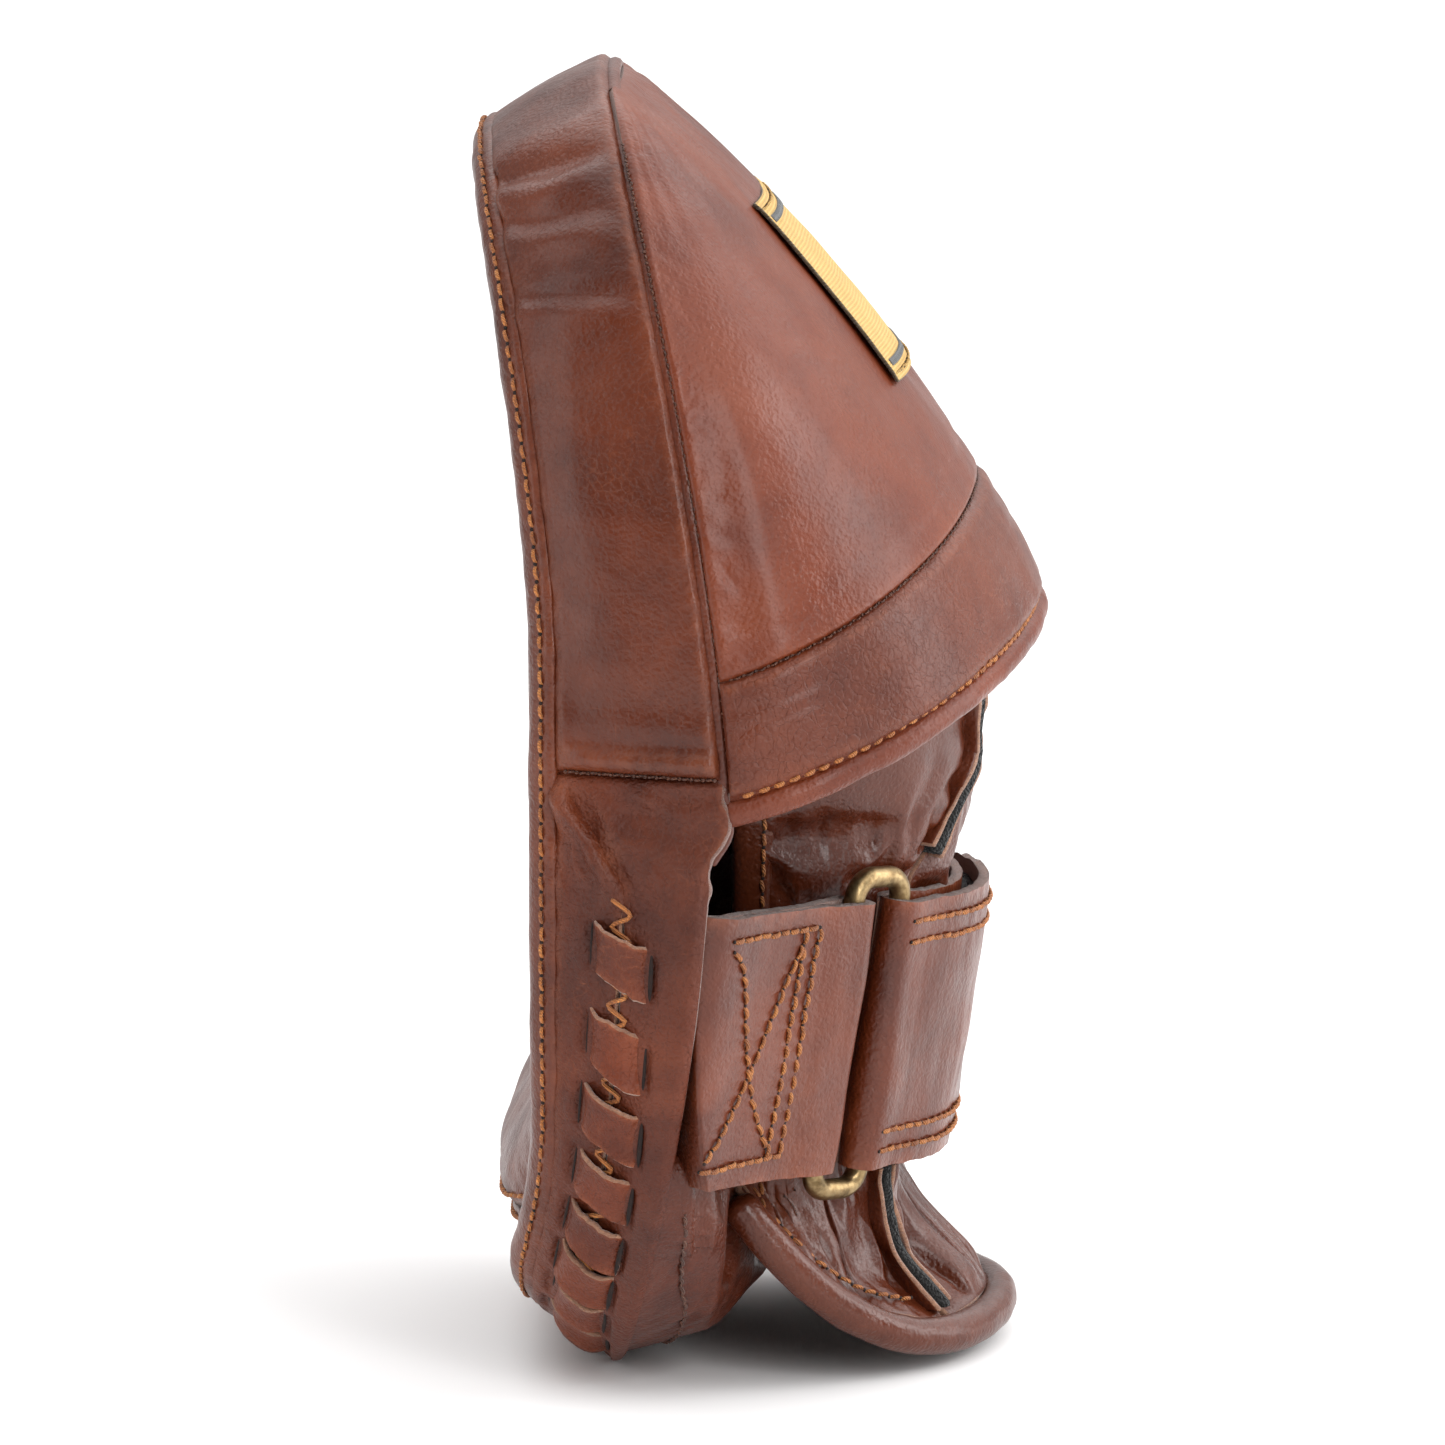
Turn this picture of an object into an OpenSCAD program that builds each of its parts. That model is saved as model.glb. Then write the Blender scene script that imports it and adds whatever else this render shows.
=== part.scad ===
// Boxing focus mitt: a padded leather strike pad with a finger hood, a hand cover
// with a bound cuff, and a hook-and-loop wrist strap on a brass ring.
// Millimetres. +Z up, -X is the striking face, +X the back of the hand. The mitt
// stands on its heel and cuff, with the origin under the middle of its box.

/* [Pad] */
// Half of the pad's width at its rear edge
pad_half_width = 100; // [90:1:110]
// Height of the pad at its rear edge
pad_height = 254; // [240:1:270]
// How far the striking face is smaller than the rear outline, all round
bevel = 14; // [8:1:18]
// Squareness of the pad's outline, where 2 is an ellipse
squareness = 2.7; // [2.2:0.1:3.2]
// Width of the binding along the face's edge
binding_width = 5.4; // [4:0.2:8]

/* [Leather] */
// Thickness of the leather panels
leather = 2; // [1.6:0.1:2.4]
// Thickness of the fabric linings
lining = 1.2; // [0.8:0.1:1.6]
// Width of one lacing strip
lace_width = 9; // [7:0.5:11]

/* [Hood] */
// Lowest height of the hood's edge, at the pad's sides
hood_edge_low = 121; // [112:1:130]
// Rise of the hood's edge from the sides to the crest
hood_edge_rise = 27; // [20:1:32]
// Width of the band above the hood's edge
band_width = 25; // [20:1:30]
// Radius of the rolled piping on the hood's edge
piping_r = 2.8; // [2:0.1:3.4]

/* [Hand cover] */
// Height of the cover's upper end, inside the hood
cover_top = 150; // [140:1:156]
// Thickness of the padding in the cover
padding = 4.2; // [3:0.1:5]
// Radius of the rolled binding on the cuff
cuff_r = 3.8; // [3:0.1:4.5]

/* [Strap] */
// Height of the wrist strap
strap_height = 54; // [48:1:56]
// Thickness of the strap leather
strap_t = 2.2; // [1.8:0.1:2.4]
// Thickness of each hook or loop patch
patch_t = 1.5; // [1:0.1:2]
// Lean of the strap towards the back of the hand, in degrees
strap_lean = 8.5; // [6:0.5:10]
// Radius of the ring's wire
wire_r = 2.1; // [1.8:0.1:2.3]
// Overall height of the ring
ring_height = 67; // [66:1:72]

/* [Hidden] */

gap = 0.3;                      // clearance between neighbouring pieces
pad_mid = pad_height / 2;       // height of the pad's centre
heel_flat = 2.4;                // how far the outline is cut off flat at its lowest point
turns = 40;                     // columns round the pad's outline
ring_list = [0.24, 0.46, 0.68, 0.85, 0.92, 1]; // rings from the pad's centre to its edge
seam_level = 0.14;              // where the gusset meets the binding, 0 face to 1 rear
slit_level = 0.54;              // where the lower gusset is slit for its lacing
slit_half = 0.012;              // half of the slit's width, as a level
seam_height = 128;              // height of the seam between upper and lower gusset
heel_seam = 29;                 // lowest height of the seam across the striking face
seam_r = 220;                   // radius of that sagging seam
heel_top = 62;                  // top of the heel's rear panel

// ---- Small helpers ----------------------------------------------------------
function over(a) = max(0, a);
function power(a, p) = sign(a) * pow(abs(a), p);
function flat(grid) = [for (row = grid) each row];
function quad(a, b, c, d) = [[a, b, c], [a, c, d]];
function unit(v) = v / norm(v);
function ease(a) = let (t = min(1, over(a))) t * t * (3 - 2 * t);

// Faces of the skins of two facing grids, with wrap closing the columns
function skin_faces(m, n, cells, wrap) = [
    for (i = [0 : m - 2]) for (j = [0 : cells - 1])
        let (k = (j + 1) % n, a = i * n + j, b = i * n + k, c = (i + 1) * n + k,
             d = (i + 1) * n + j, s = m * n)
            each concat(quad(a, b, c, d), quad(a + s, d + s, c + s, b + s))];
function end_faces(m, n, cells) = let (s = m * n, e = (m - 1) * n) [
    for (j = [0 : cells - 1]) let (k = (j + 1) % n)
        each quad(e + j, e + k, e + k + s, e + j + s)];
function start_faces(m, n, cells) = let (s = m * n) [
    for (j = [0 : cells - 1]) let (k = (j + 1) % n) each quad(k, j, j + s, k + s)];
function side_faces(m, n) = let (s = m * n, e = n - 1) [
    for (i = [0 : m - 2]) let (a = i * n, b = (i + 1) * n)
        each concat(quad(a, b, b + s, a + s), quad(b + e, a + e, a + e + s, b + e + s))];

// A closed sheet between an outer and an inner grid of points
module sheet(outer, inner, wrap = false) {
    m = len(outer);
    n = len(outer[0]);
    cells = wrap ? n : n - 1;
    polyhedron(concat(flat(outer), flat(inner)),
        concat(skin_faces(m, n, cells, wrap), start_faces(m, n, cells),
            end_faces(m, n, cells), wrap ? [] : side_faces(m, n)), convexity = 6);
}

// A closed slab between two polar grids, whose middles are closed by fans
module slab(front, rear) {
    m = len(front);
    n = len(front[0]);
    s = m * n;
    mids = [for (grid = [front, rear]) [for (a = [0 : 2]) (grid[0][0][a] + grid[0][n / 2][a]) / 2]];
    fans = [for (j = [0 : n - 1]) let (k = (j + 1) % n)
        each [[k, j, 2 * s], [j + s, k + s, 2 * s + 1]]];
    polyhedron(concat(flat(front), flat(rear), mids),
        concat(skin_faces(m, n, n, true), end_faces(m, n, n), fans), convexity = 6);
}

// A round tube along a path
module tube(path, r, sides = 8) {
    n = len(path);
    dirs = [for (i = [0 : n - 1]) unit(path[min(n - 1, i + 1)] - path[max(0, i - 1)])];
    loops = [for (i = [0 : n - 1])
        let (u = unit(cross(dirs[i], [0.31, 0.17, 0.93])), v = cross(dirs[i], u))
            [for (j = [0 : sides - 1]) let (t = -360 * j / sides)
                path[i] + r * (cos(t) * u + sin(t) * v)]];
    polyhedron(flat(loops), concat(
        [for (i = [0 : n - 2]) for (j = [0 : sides - 1]) let (k = (j + 1) % sides)
            each quad(i * sides + j, i * sides + k, (i + 1) * sides + k, (i + 1) * sides + j)],
        [[for (j = [sides - 1 : -1 : 0]) j]],
        [[for (j = [0 : sides - 1]) (n - 1) * sides + j]]), convexity = 6);
}

// ---- Pad --------------------------------------------------------------------
// X of the face's edge, of the rear edge, and of a level between them
function gusset_front(z) = -39.2 - 0.0145 * pow(over(z - 150), 1.5)
    - 0.0042 * pow(over(60 - z), 2) + 0.018 * pow(over(30 - z), 2);
function edge_x(z) = gusset_front(z) - binding_width;
function rear_x(z) = -7.3 - 0.0168 * pow(over(z - 118), 1.464)
    - 3.7 * ease((118 - z) / 8) - 0.0118 * pow(over(110 - z), 1.55);
function level_x(z, s) = edge_x(z) + (rear_x(z) - edge_x(z)) * s;

// Half width, height above and height below the middle, at a level
function half_wide(s) = pad_half_width - bevel * pow(1 - s, 1.1);
function half_tall(s) = pad_mid - bevel * pow(1 - s, 1.1) + heel_flat;
function outline(t, s, inset, k = 1) =
    [(half_wide(s) - inset) * power(sin(t), 2 / squareness) * k,
     max(0, pad_mid + (half_tall(s) - inset) * power(cos(t), 2 / squareness) * k)];
function half_width_at(z, inset) = let (a = abs(z - pad_mid) / (pad_mid + heel_flat - inset))
    (pad_half_width - inset) * pow(over(1 - pow(a, squareness)), 1 / squareness);

// The face is dished above and swells at the heel, and both die out at its edge
function swell(y, z, k) = (1 - pow(min(1, k / 0.92), 12)) * (5 * ease((z - 70) / 60) * pow(1 - k * k, 2)
    - 10 * exp(-pow((z - 35) / 17, 2)) * over(1 - pow(abs(y) / 80, 3)));

function angles(a, b, n) = [for (j = [0 : n]) a + (b - a) * j / n];
function around() = [for (j = [0 : turns - 1]) 360 * j / turns];
function pad_layer(s, inset, shift, dish) = [for (k = ring_list)
    [for (t = around()) let (p = outline(t, s, inset, k))
        [level_x(p[1], s) + shift + dish * swell(p[0], p[1], k), p[0], p[1]]]];
function strip(rows, inset) = [for (row = rows) [for (c = row)
    let (s = c[1], p = outline(c[0], s, inset))
        [level_x(p[1], s), p[0], p[1] + (p[1] == 0 ? inset : 0)]]];

module face_skin() slab(pad_layer(0, 2.2, leather + 0.2, 1), pad_layer(0, 2.2, 2 * leather, 1));

// Everything above the sagging seam, which is an arc of a large circle
module above_seam(r) translate([0, 0, heel_seam + seam_r]) rotate([0, 90, 0])
    cylinder(r = r, h = 200, center = true, $fn = 180);

module face_panel() color("saddlebrown") intersection() {
    face_skin();
    above_seam(seam_r);
}

module face_heel_panel() color("sienna") difference() {
    face_skin();
    above_seam(seam_r + gap);
}

// Binding turned over the face's edge: rows of level, inset and shift along X
bind_outer = [[0, 6.5, leather - 1.9], [0, 2.5, 0], [0.03, 0.2, 0], [seam_level - 0.01, 0, 0]];
bind_inner = [[0, 6.5, leather - 0.3], [0, 3.6, leather - 0.3], [0.05, 2, 0],
    [seam_level - 0.01, 1.8, 0]];
function bind_rows(list) = [for (r = list) [for (t = around())
    let (p = outline(t, r[0], r[1])) [level_x(p[1], r[0]) + r[2], p[0], p[1]]]];
module edge_binding() color("brown") sheet(bind_rows(bind_outer), bind_rows(bind_inner), true);

// A stretch of gusset between two levels, each given for an angle round the outline
module gusset(from, to, list) {
    rows = [for (u = [0, 0.4, 0.73, 1]) [for (t = list) [t, from(t) + (to(t) - from(t)) * u]]];
    sheet(strip(rows, 0), strip(rows, leather));
}
// The laced slit is level, and its top bends forward to the corner of the cross seam
function slit_at(t) = slit_level + (seam_level + 0.05 - slit_level)
    * pow(ease((outline(t, 0.5, 0)[1] - 105) / 22), 0.8);
front_level = function(t) seam_level;
slit_front = function(t) slit_at(t) - slit_half;
slit_rear = function(t) slit_at(t) + slit_half;
rear_level = function(t) 1;

// Angle round the outline at which the rear edge is at a height
seam_angle = acos(power((seam_height - pad_mid) / (pad_mid + heel_flat), squareness / 2));
lower_list = angles(seam_angle + 0.04, 360 - seam_angle - 0.04, 34);

module upper_gusset() color("maroon")
    gusset(front_level, rear_level, angles(-seam_angle + 0.04, seam_angle - 0.04, 30));

module lower_gusset_front() color("maroon")
    gusset(front_level, slit_front, lower_list);

module lower_gusset_rear() color("brown")
    gusset(slit_rear, rear_level, lower_list);

// Lacing strips that bridge the slit, each lying on the gusset
lace_count = 21;
lace_from = 100.5;                // angle round the outline of the first strip
lace_length = 10;
lace_t = 1.4;
module lacing() color("chocolate") for (j = [0 : lace_count - 1]) {
    t = lace_from + (360 - 2 * lace_from) * j / (lace_count - 1);
    p = outline(t, slit_level, 0);
    q = outline(t + 1, slit_level, 0);
    r = outline(t, slit_level + 0.1, 0);
    at = [level_x(p[1], slit_level), p[0], p[1]];
    along = unit([level_x(q[1], slit_level), q[0], q[1]] - at);
    over_slit = unit([level_x(r[1], slit_level + 0.1), r[0], r[1]] - at);
    out = unit(cross(over_slit, along));
    side = cross(out, along);
    m = [for (a = [0 : 2]) [along[a], side[a], out[a], at[a] + out[a] * 0.6]];
    multmatrix(concat(m, [[0, 0, 0, 1]]))
        translate([-lace_width / 2, -lace_length / 2, 0]) cube([lace_width, lace_length, lace_t]);
}

module back_panel() color("black")
    slab(pad_layer(1, 2.4, -lining, 0), pad_layer(1, 2.4, 0, 0));

foam_levels = [0.1, 0.37, 0.64, 0.93];
module foam(i) slab(pad_layer(foam_levels[i], 2.6, leather * (i == 0 ? 1.5 : 0), 1 - i / 3),
    pad_layer(foam_levels[i + 1], 2.6, -gap, 1 - (i + 1) / 3));
module foam_core_front() color("dimgray") foam(0);
module foam_core_middle() color("gray") foam(1);
module foam_core_rear() color("dimgray") foam(2);

// The heel's rear swelling, on the lower part of the back
function heel_z(z) = z < 30 ? z : 30 + (z - 30) * (heel_top - 30) / (pad_height - 30);
function heel_wide(z) = half_width_at(heel_z(z), 0) / half_width_at(min(z, pad_mid), 0);
function heel_bulge(y, z, k) = 23 * sqrt(1 - pow(k, 12))
    * (z < 19 ? sqrt(over(1 - pow((19 - z) / 20.5, 2))) : over(1 - pow((z - 19) / 44, 1.1)))
    * pow(over(1 - pow(abs(y) / half_width_at(max(z, 24), 0), 2.4)), 0.35);
function heel_layer(inset, shift, part) = [for (k = [0.22, 0.44, 0.64, 0.8, 0.9, 0.96, 1])
    [for (t = around()) let (p = outline(t, 1, inset, k), z = heel_z(p[1]), y = p[0] * heel_wide(p[1]))
        [rear_x(z) + shift + part * heel_bulge(y, z, k), y, z]]];

module heel_back_panel() color("saddlebrown")
    slab(heel_layer(2, 0.2, 1), heel_layer(2, 0.2 + leather, 1));

module heel_stuffing() color("lightgray")
    slab(heel_layer(9, 0.1, 0), heel_layer(9, 0.15, 0.8));

// ---- Hood -------------------------------------------------------------------
// Each level section of the hood is half an ellipse that stands on the rear edge
function hood_depth(z) = let (u = over(pad_height - z))
    1.21 * sqrt(u) + 0.768 * u - 0.00244 * u * u;
function hood_edge(f) = hood_edge_low + hood_edge_rise * pow(cos(f), 1.2);
function band_edge(f) = hood_edge(f) + band_width * (1 + 0.04 * cos(f));
function hood_point(f, z, inset) =
    [rear_x(z) + gap + over(hood_depth(z) - inset) * cos(f),
     over(half_width_at(z, 0) - inset) * sin(f), z];
function hood_grid(list, low, high, rows, inset) = [for (i = [0 : rows]) [for (f = list)
    let (a = pad_height - high(f), b = pad_height - low(f), u = i / rows)
        hood_point(f, pad_height - (a + (b - a) * pow(u, 1.5)), inset)]];
arch = angles(-88.5, 88.5, 22);
hood_top = function(f) pad_height - 1.2;
above_band = function(f) band_edge(f) + 0.2;
below_band = function(f) band_edge(f) - 0.2;
above_piping = function(f) hood_edge(f) + piping_r + 0.4;
lining_low = function(f) hood_edge(f) + piping_r + 3;
lining_high = function(f) pad_height - 16;

module hood_panel() color("rosybrown")
    sheet(hood_grid(arch, above_band, hood_top, 9, 0),
        hood_grid(arch, above_band, hood_top, 9, leather));

module hood_band() color("brown")
    sheet(hood_grid(arch, above_piping, below_band, 3, 0),
        hood_grid(arch, above_piping, below_band, 3, leather));

module hood_piping() color("sienna")
    tube([for (f = angles(-88, 88, 26)) hood_point(f, hood_edge(f), piping_r + 0.1)], piping_r);

module hood_foam() color("gray")
    sheet(hood_grid(angles(-86, 86, 16), lining_low, lining_high, 7, leather + gap),
        hood_grid(angles(-86, 86, 16), lining_low, lining_high, 7, leather + 4.5));

module hood_lining() color("black")
    sheet(hood_grid(angles(-86, 86, 16), lining_low, lining_high, 7, leather + 4.8),
        hood_grid(angles(-86, 86, 16), lining_low, lining_high, 7, leather + 4.8 + lining));

// Blank woven label across the hood's crest
label_list = angles(-22, 22, 8);
label_low = function(f) 196;
label_high = function(f) 230;
module label() color("gold")
    sheet(hood_grid(label_list, label_low, label_high, 4, -0.9),
        hood_grid(label_list, label_low, label_high, 4, -0.1));

// ---- Hand cover -------------------------------------------------------------
cover_x = -4;                   // X of the cover's front edges
// Reach of the cover's crest, and half its width, at each height
crest_line = [[38, 33.4], [46, 34], [58, 35.6], [72, 37.8], [85, 39.9], [96, 41.6],
    [101, 43], [109, 44.8], [120, 46.7], [130, 47.7], [150, 48]];
width_line = [[92, 46.2], [101, 48.6], [112, 52], [122, 53.4], [150, 54]];
// Angle of the raised seam at each height
seam_line = [[7, 35], [25, 36], [60, 38], [97, 38], [112, 22], [120, 17], [131, 20], [150, 22]];

function cuff_z(f) = cuff_r + 32 * pow(1 - cos(f), 2.2) + 2.5 * pow(cos(f), 4);
function cuff_flare(f, u) = let (from = 0.82 + 0.09 * (1 - cos(f)))
    pow(over(u - from) / (1 - from), 1.8);
function cover_point(f, u, inset) =
    let (z = cover_top + (cuff_z(f) + 3.3 - cover_top) * u, g = cuff_flare(f, u))
        [cover_x + (lookup(z, crest_line) + 16 * g - inset) * cos(f),
         (lookup(z, width_line) + 7 * g - inset) * sin(f), z];
function cuff_point(f) = let (p = cover_point(f, 1, -2.6)) [p[0], p[1], p[2] - 3.3];
function cover_row_z(u) = cover_top + (9 - cover_top) * u;
// One panel of the cover, between two multiples of the seam's angle and two limits
function cover_grid(from, to, cols, inset, rows = 13) = [for (i = [0 : rows])
    let (u = i / rows, s = lookup(cover_row_z(u), seam_line))
        [for (j = [0 : cols]) let (f = from(s) + (to(s) - from(s)) * j / cols)
            cover_point(f, u, inset)]];
near_side = function(s) -90;
near_seam = function(s) -s - 1.5;
back_start = function(s) -s + 1.5;
back_end = function(s) s - 1.5;
far_seam = function(s) s + 1.5;
far_side = function(s) 90;

module hand_near_panel() color("sienna")
    sheet(cover_grid(near_side, near_seam, 7, 0), cover_grid(near_side, near_seam, 7, leather));

module hand_back_panel() color("brown")
    sheet(cover_grid(back_start, back_end, 7, 0), cover_grid(back_start, back_end, 7, leather));

module hand_far_panel() color("sienna")
    sheet(cover_grid(far_seam, far_side, 7, 0), cover_grid(far_seam, far_side, 7, leather));

module hand_padding() color("gray")
    sheet(cover_grid(near_side, far_side, 18, leather + 2 * gap),
        cover_grid(near_side, far_side, 18, leather + 2 * gap + padding));

module hand_lining() color("black")
    sheet(cover_grid(near_side, far_side, 18, leather + 3 * gap + padding),
        cover_grid(near_side, far_side, 18, leather + 3 * gap + padding + lining));

// Raised three-ply seam above and below the strap
seam_half = 2.4;                // half of the rib's width, in degrees of arc
seam_spans = [[0.05, 0.33], [0.8, 0.97]];
function rib(side, span, inset) = [for (i = [0 : 6])
    let (u = span[0] + (span[1] - span[0]) * i / 6, s = lookup(cover_row_z(u), seam_line))
        [for (d = [-seam_half, seam_half]) let (f = side * s + d)
            cover_point(f, u, inset)]];
module hand_seam(side) for (span = seam_spans)
    sheet(rib(side, span, -3.6), rib(side, span, -0.7));
module hand_seam_near() color("black") hand_seam(-1);
module hand_seam_far() color("black") hand_seam(1);

module cuff_binding() color("brown")
    tube([for (f = angles(-89, 89, 30)) cuff_point(f)], cuff_r);

// Grip ball sewn to the back panel under the palm
ball_r = 14;
ball_x = -9;
ball_z = 112;
module palm_ball() color("darkslategray") intersection() {
    translate([ball_x, 0, ball_z]) sphere(r = ball_r, $fn = 64);
    translate([-6.8, -ball_r, ball_z - ball_r]) cube(2 * ball_r);
}

// ---- Strap ------------------------------------------------------------------
// The strap leans with its own frame, in which it runs level
strap_mid = 71.8;               // height of the strap frame above the ground
loop_x = -6;                    // centre of the strap's loop round the hand
loop_a = 41;                    // inner half depth of the loop
loop_b = 47.3;                  // inner half width of the loop
bar_gap = 13.8;                 // distance between the ring's two bars
corner = 4.4;                   // bend radius of the ring's corners
inner_bar = [14, -52.4];        // the bar held by the tab
ring_turn = 49;                 // direction from the inner to the outer bar, degrees
outer_bar = inner_bar + bar_gap * [cos(ring_turn), sin(ring_turn)];
tab_end = [-11.2, -90.8];       // where the tab is sewn to the pad
far_end = [-12.2, 90.5];        // where the main strap is sewn to the pad
tab_dir = unit(inner_bar - tab_end);
tab_side = 2.1 * [-tab_dir[1], tab_dir[0]]; // half of the doubled tab's thickness
bore_r = wire_r + 0.2;          // inside of the tab's loop and of the strap's fold
fold_r = bore_r + strap_t;      // outside of the strap's fold
fold_dir = 65;                  // direction in which the fold opens, degrees
fold_leg = 9.2;                 // length of the fold's outer leg, up to the flap
flap_from = -39;                // the flap's ends round the loop, degrees
flap_to = 30;
main_from = -47;                // the main strap's ends round the loop
main_to = 37.5;                 // beyond it the strap runs straight to the pad

module strap_frame() translate([0, 0, strap_mid]) rotate([0, strap_lean, 0]) children();
module upright(h) linear_extrude(h, center = true, convexity = 6) children();
function loop_point(t, d) = [loop_x + (loop_a + d) * cos(t), (loop_b + d) * sin(t)];
// A band round the loop between two distances outside it, with any points at its end
module band(from, to, d1, d2, n = 24, tail = []) polygon(concat(
    [for (t = angles(from, to, n)) loop_point(t, d1)], tail,
    [for (t = angles(to, from, n)) loop_point(t, d2)]));

module strap_tab() color("sienna") strap_frame() difference() {
    union() {
        upright(strap_height) translate(inner_bar) circle(r = bore_r + strap_t, $fn = 48);
        upright(strap_height) polygon([tab_end + tab_side, tab_end - tab_side,
            inner_bar - tab_side, inner_bar + tab_side]);
    }
    translate([inner_bar[0], inner_bar[1], 0])
        cylinder(r = bore_r, h = strap_height + 2, center = true, $fn = 48);
}

far_dir = unit(far_end - loop_point(main_to, 0));
module strap_main() color("saddlebrown") strap_frame() upright(strap_height)
    band(main_from, main_to, 0, strap_t, 30,
        [far_end, far_end + strap_t * [far_dir[1], -far_dir[0]]]);

module loop_patch() color("black") strap_frame() upright(strap_height - 6)
    band(-30, 34, strap_t + 0.05, strap_t + patch_t);

module ring() color("goldenrod") strap_frame()
    translate([inner_bar[0], inner_bar[1], 0]) rotate([0, 0, ring_turn]) {
        tall = ring_height / 2 - wire_r - corner;
        for (x = [0, bar_gap]) translate([x, 0, 0])
            cylinder(r = wire_r, h = 2 * tall, center = true, $fn = 40);
        for (up = [0, 1], right = [0, 1])
            translate([right ? bar_gap - corner : corner, 0, up ? tall : -tall])
                rotate([90, 0, 0]) rotate([0, 0, up ? (right ? 0 : 90) : (right ? 270 : 180)])
                    rotate_extrude(angle = 90, $fn = 48) translate([corner, 0])
                        circle(r = wire_r, $fn = 40);
        for (z = [-tall - corner, tall + corner]) translate([corner, 0, z])
            rotate([0, 90, 0]) cylinder(r = wire_r, h = bar_gap - 2 * corner, $fn = 40);
    }

// Strap leather turned back round the outer bar
module strap_fold() color("sienna") strap_frame() upright(strap_height) translate(outer_bar)
    rotate(fold_dir) difference() {
        union() {
            circle(r = fold_r, $fn = 48);
            translate([0, -fold_r]) square([fold_leg, fold_r]);
            square([2.6, fold_r]);
        }
        circle(r = bore_r, $fn = 48);
        translate([0, -bore_r]) square([12, 2 * bore_r]);
    }

// Flap, whose start is rounded about the axis on which it peels
flap_in = strap_t + 2 * patch_t + gap;
flap_pivot = loop_point(flap_from, flap_in + strap_t / 2);
module strap_flap() color("brown") strap_frame() upright(strap_height) {
    band(flap_from, flap_to, flap_in, flap_in + strap_t);
    translate(flap_pivot) circle(r = strap_t / 2 + 0.15, $fn = 48);
}

module hook_patch() color("black") strap_frame() upright(strap_height - 6)
    band(-22, 26, strap_t + patch_t + gap, flap_in - 0.05);

face_panel();
face_heel_panel();
edge_binding();
upper_gusset();
lower_gusset_front();
lower_gusset_rear();
lacing();
back_panel();
heel_back_panel();
foam_core_front();
foam_core_middle();
foam_core_rear();
heel_stuffing();
hood_panel();
hood_band();
hood_piping();
hood_foam();
hood_lining();
label();
hand_near_panel();
hand_back_panel();
hand_far_panel();
hand_seam_near();
hand_seam_far();
hand_padding();
hand_lining();
cuff_binding();
palm_ball();
strap_tab();
strap_main();
loop_patch();
ring();
strap_fold();
strap_flap();
hook_patch();
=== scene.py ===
"""Looks of the boxing focus mitt: leather, padding, lacing, stitching and strap round the CAD frame.

Lengths are millimetres while a shape is worked out, and metres once it is a mesh.
+Z is up, -X is the striking face, +X the back of the hand, and the ring is on the -Y side.
"""
import math

import bpy
import numpy as np
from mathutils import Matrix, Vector


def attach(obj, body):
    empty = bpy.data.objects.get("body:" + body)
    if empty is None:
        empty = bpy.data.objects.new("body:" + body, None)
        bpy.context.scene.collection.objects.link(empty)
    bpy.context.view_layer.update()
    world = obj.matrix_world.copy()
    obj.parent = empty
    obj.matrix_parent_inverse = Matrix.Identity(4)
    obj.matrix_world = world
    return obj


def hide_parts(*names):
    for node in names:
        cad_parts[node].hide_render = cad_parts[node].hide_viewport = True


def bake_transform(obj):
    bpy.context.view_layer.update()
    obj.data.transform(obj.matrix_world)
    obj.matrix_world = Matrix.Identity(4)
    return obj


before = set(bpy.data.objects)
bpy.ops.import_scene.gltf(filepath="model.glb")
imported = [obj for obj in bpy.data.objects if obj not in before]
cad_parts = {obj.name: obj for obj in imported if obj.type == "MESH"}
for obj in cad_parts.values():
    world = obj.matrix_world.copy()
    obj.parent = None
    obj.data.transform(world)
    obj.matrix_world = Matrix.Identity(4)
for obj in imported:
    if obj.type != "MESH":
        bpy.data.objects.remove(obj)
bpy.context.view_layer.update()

MM = 0.001
HEIGHT = 254.0               # of the pad's rear outline
MID = HEIGHT / 2
HALF_WIDTH = 100.0
BEVEL = 14.0                 # how far the face is smaller than the rear outline
SQUARE = 2.7                 # squareness of the outline
HEEL_FLAT = 2.4              # how much lower the pad's outline reaches than the ground
BINDING = 5.4
SEAM_LEVEL = 0.14            # where the gusset meets the binding, 0 face to 1 rear
SLIT_LEVEL = 0.54            # of the laced slit, on the same scale
SEAM_HEIGHT = 128.0          # seam between the upper and the lower gusset
HEEL_SEAM = 29.0             # lowest height of the curved seam across the face
HEEL_SEAM_R = 220.0          # radius of that seam
SEAM_END = 38.3              # height of that seam at its ends
LEATHER = 2.0
HOOD_EDGE_LOW, HOOD_EDGE_RISE = 121, 27
BAND_WIDTH = 25
COVER_TOP = 150.0
HEEL_TOP = 62.0              # of the swelling behind the heel
CUFF_R = 3.8
CUFF_DROP = 3.3              # how far the roll's centre lies below the cover's edge
LABEL_LOW, LABEL_HIGH = 196, 230
INNER = Vector((-20.0, 0.0, 128.0))  # a point inside the pad, which surfaces face away from


# ---- Numbers ----------------------------------------------------------------
def ease(a):
    t = np.clip(a, 0, 1)
    return t * t * (3 - 2 * t)


def over(a):
    return np.maximum(0.0, a)


def power(a, p):
    return np.sign(a) * np.abs(a) ** p


def bump(a, centre, width):
    return np.exp(-((a - centre) / width) ** 2)


def hashed(i, j, k, seed):
    n = (i * 374761393 + j * 668265263 + k * 2147483647 + seed * 974634777) & 0xFFFFFFFF
    n = ((n ^ (n >> 13)) * 1274126177) & 0xFFFFFFFF
    n = ((n ^ (n >> 16)) * 2246822519) & 0xFFFFFFFF
    return (n ^ (n >> 15)) / 2147483648.0 - 1.0


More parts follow.
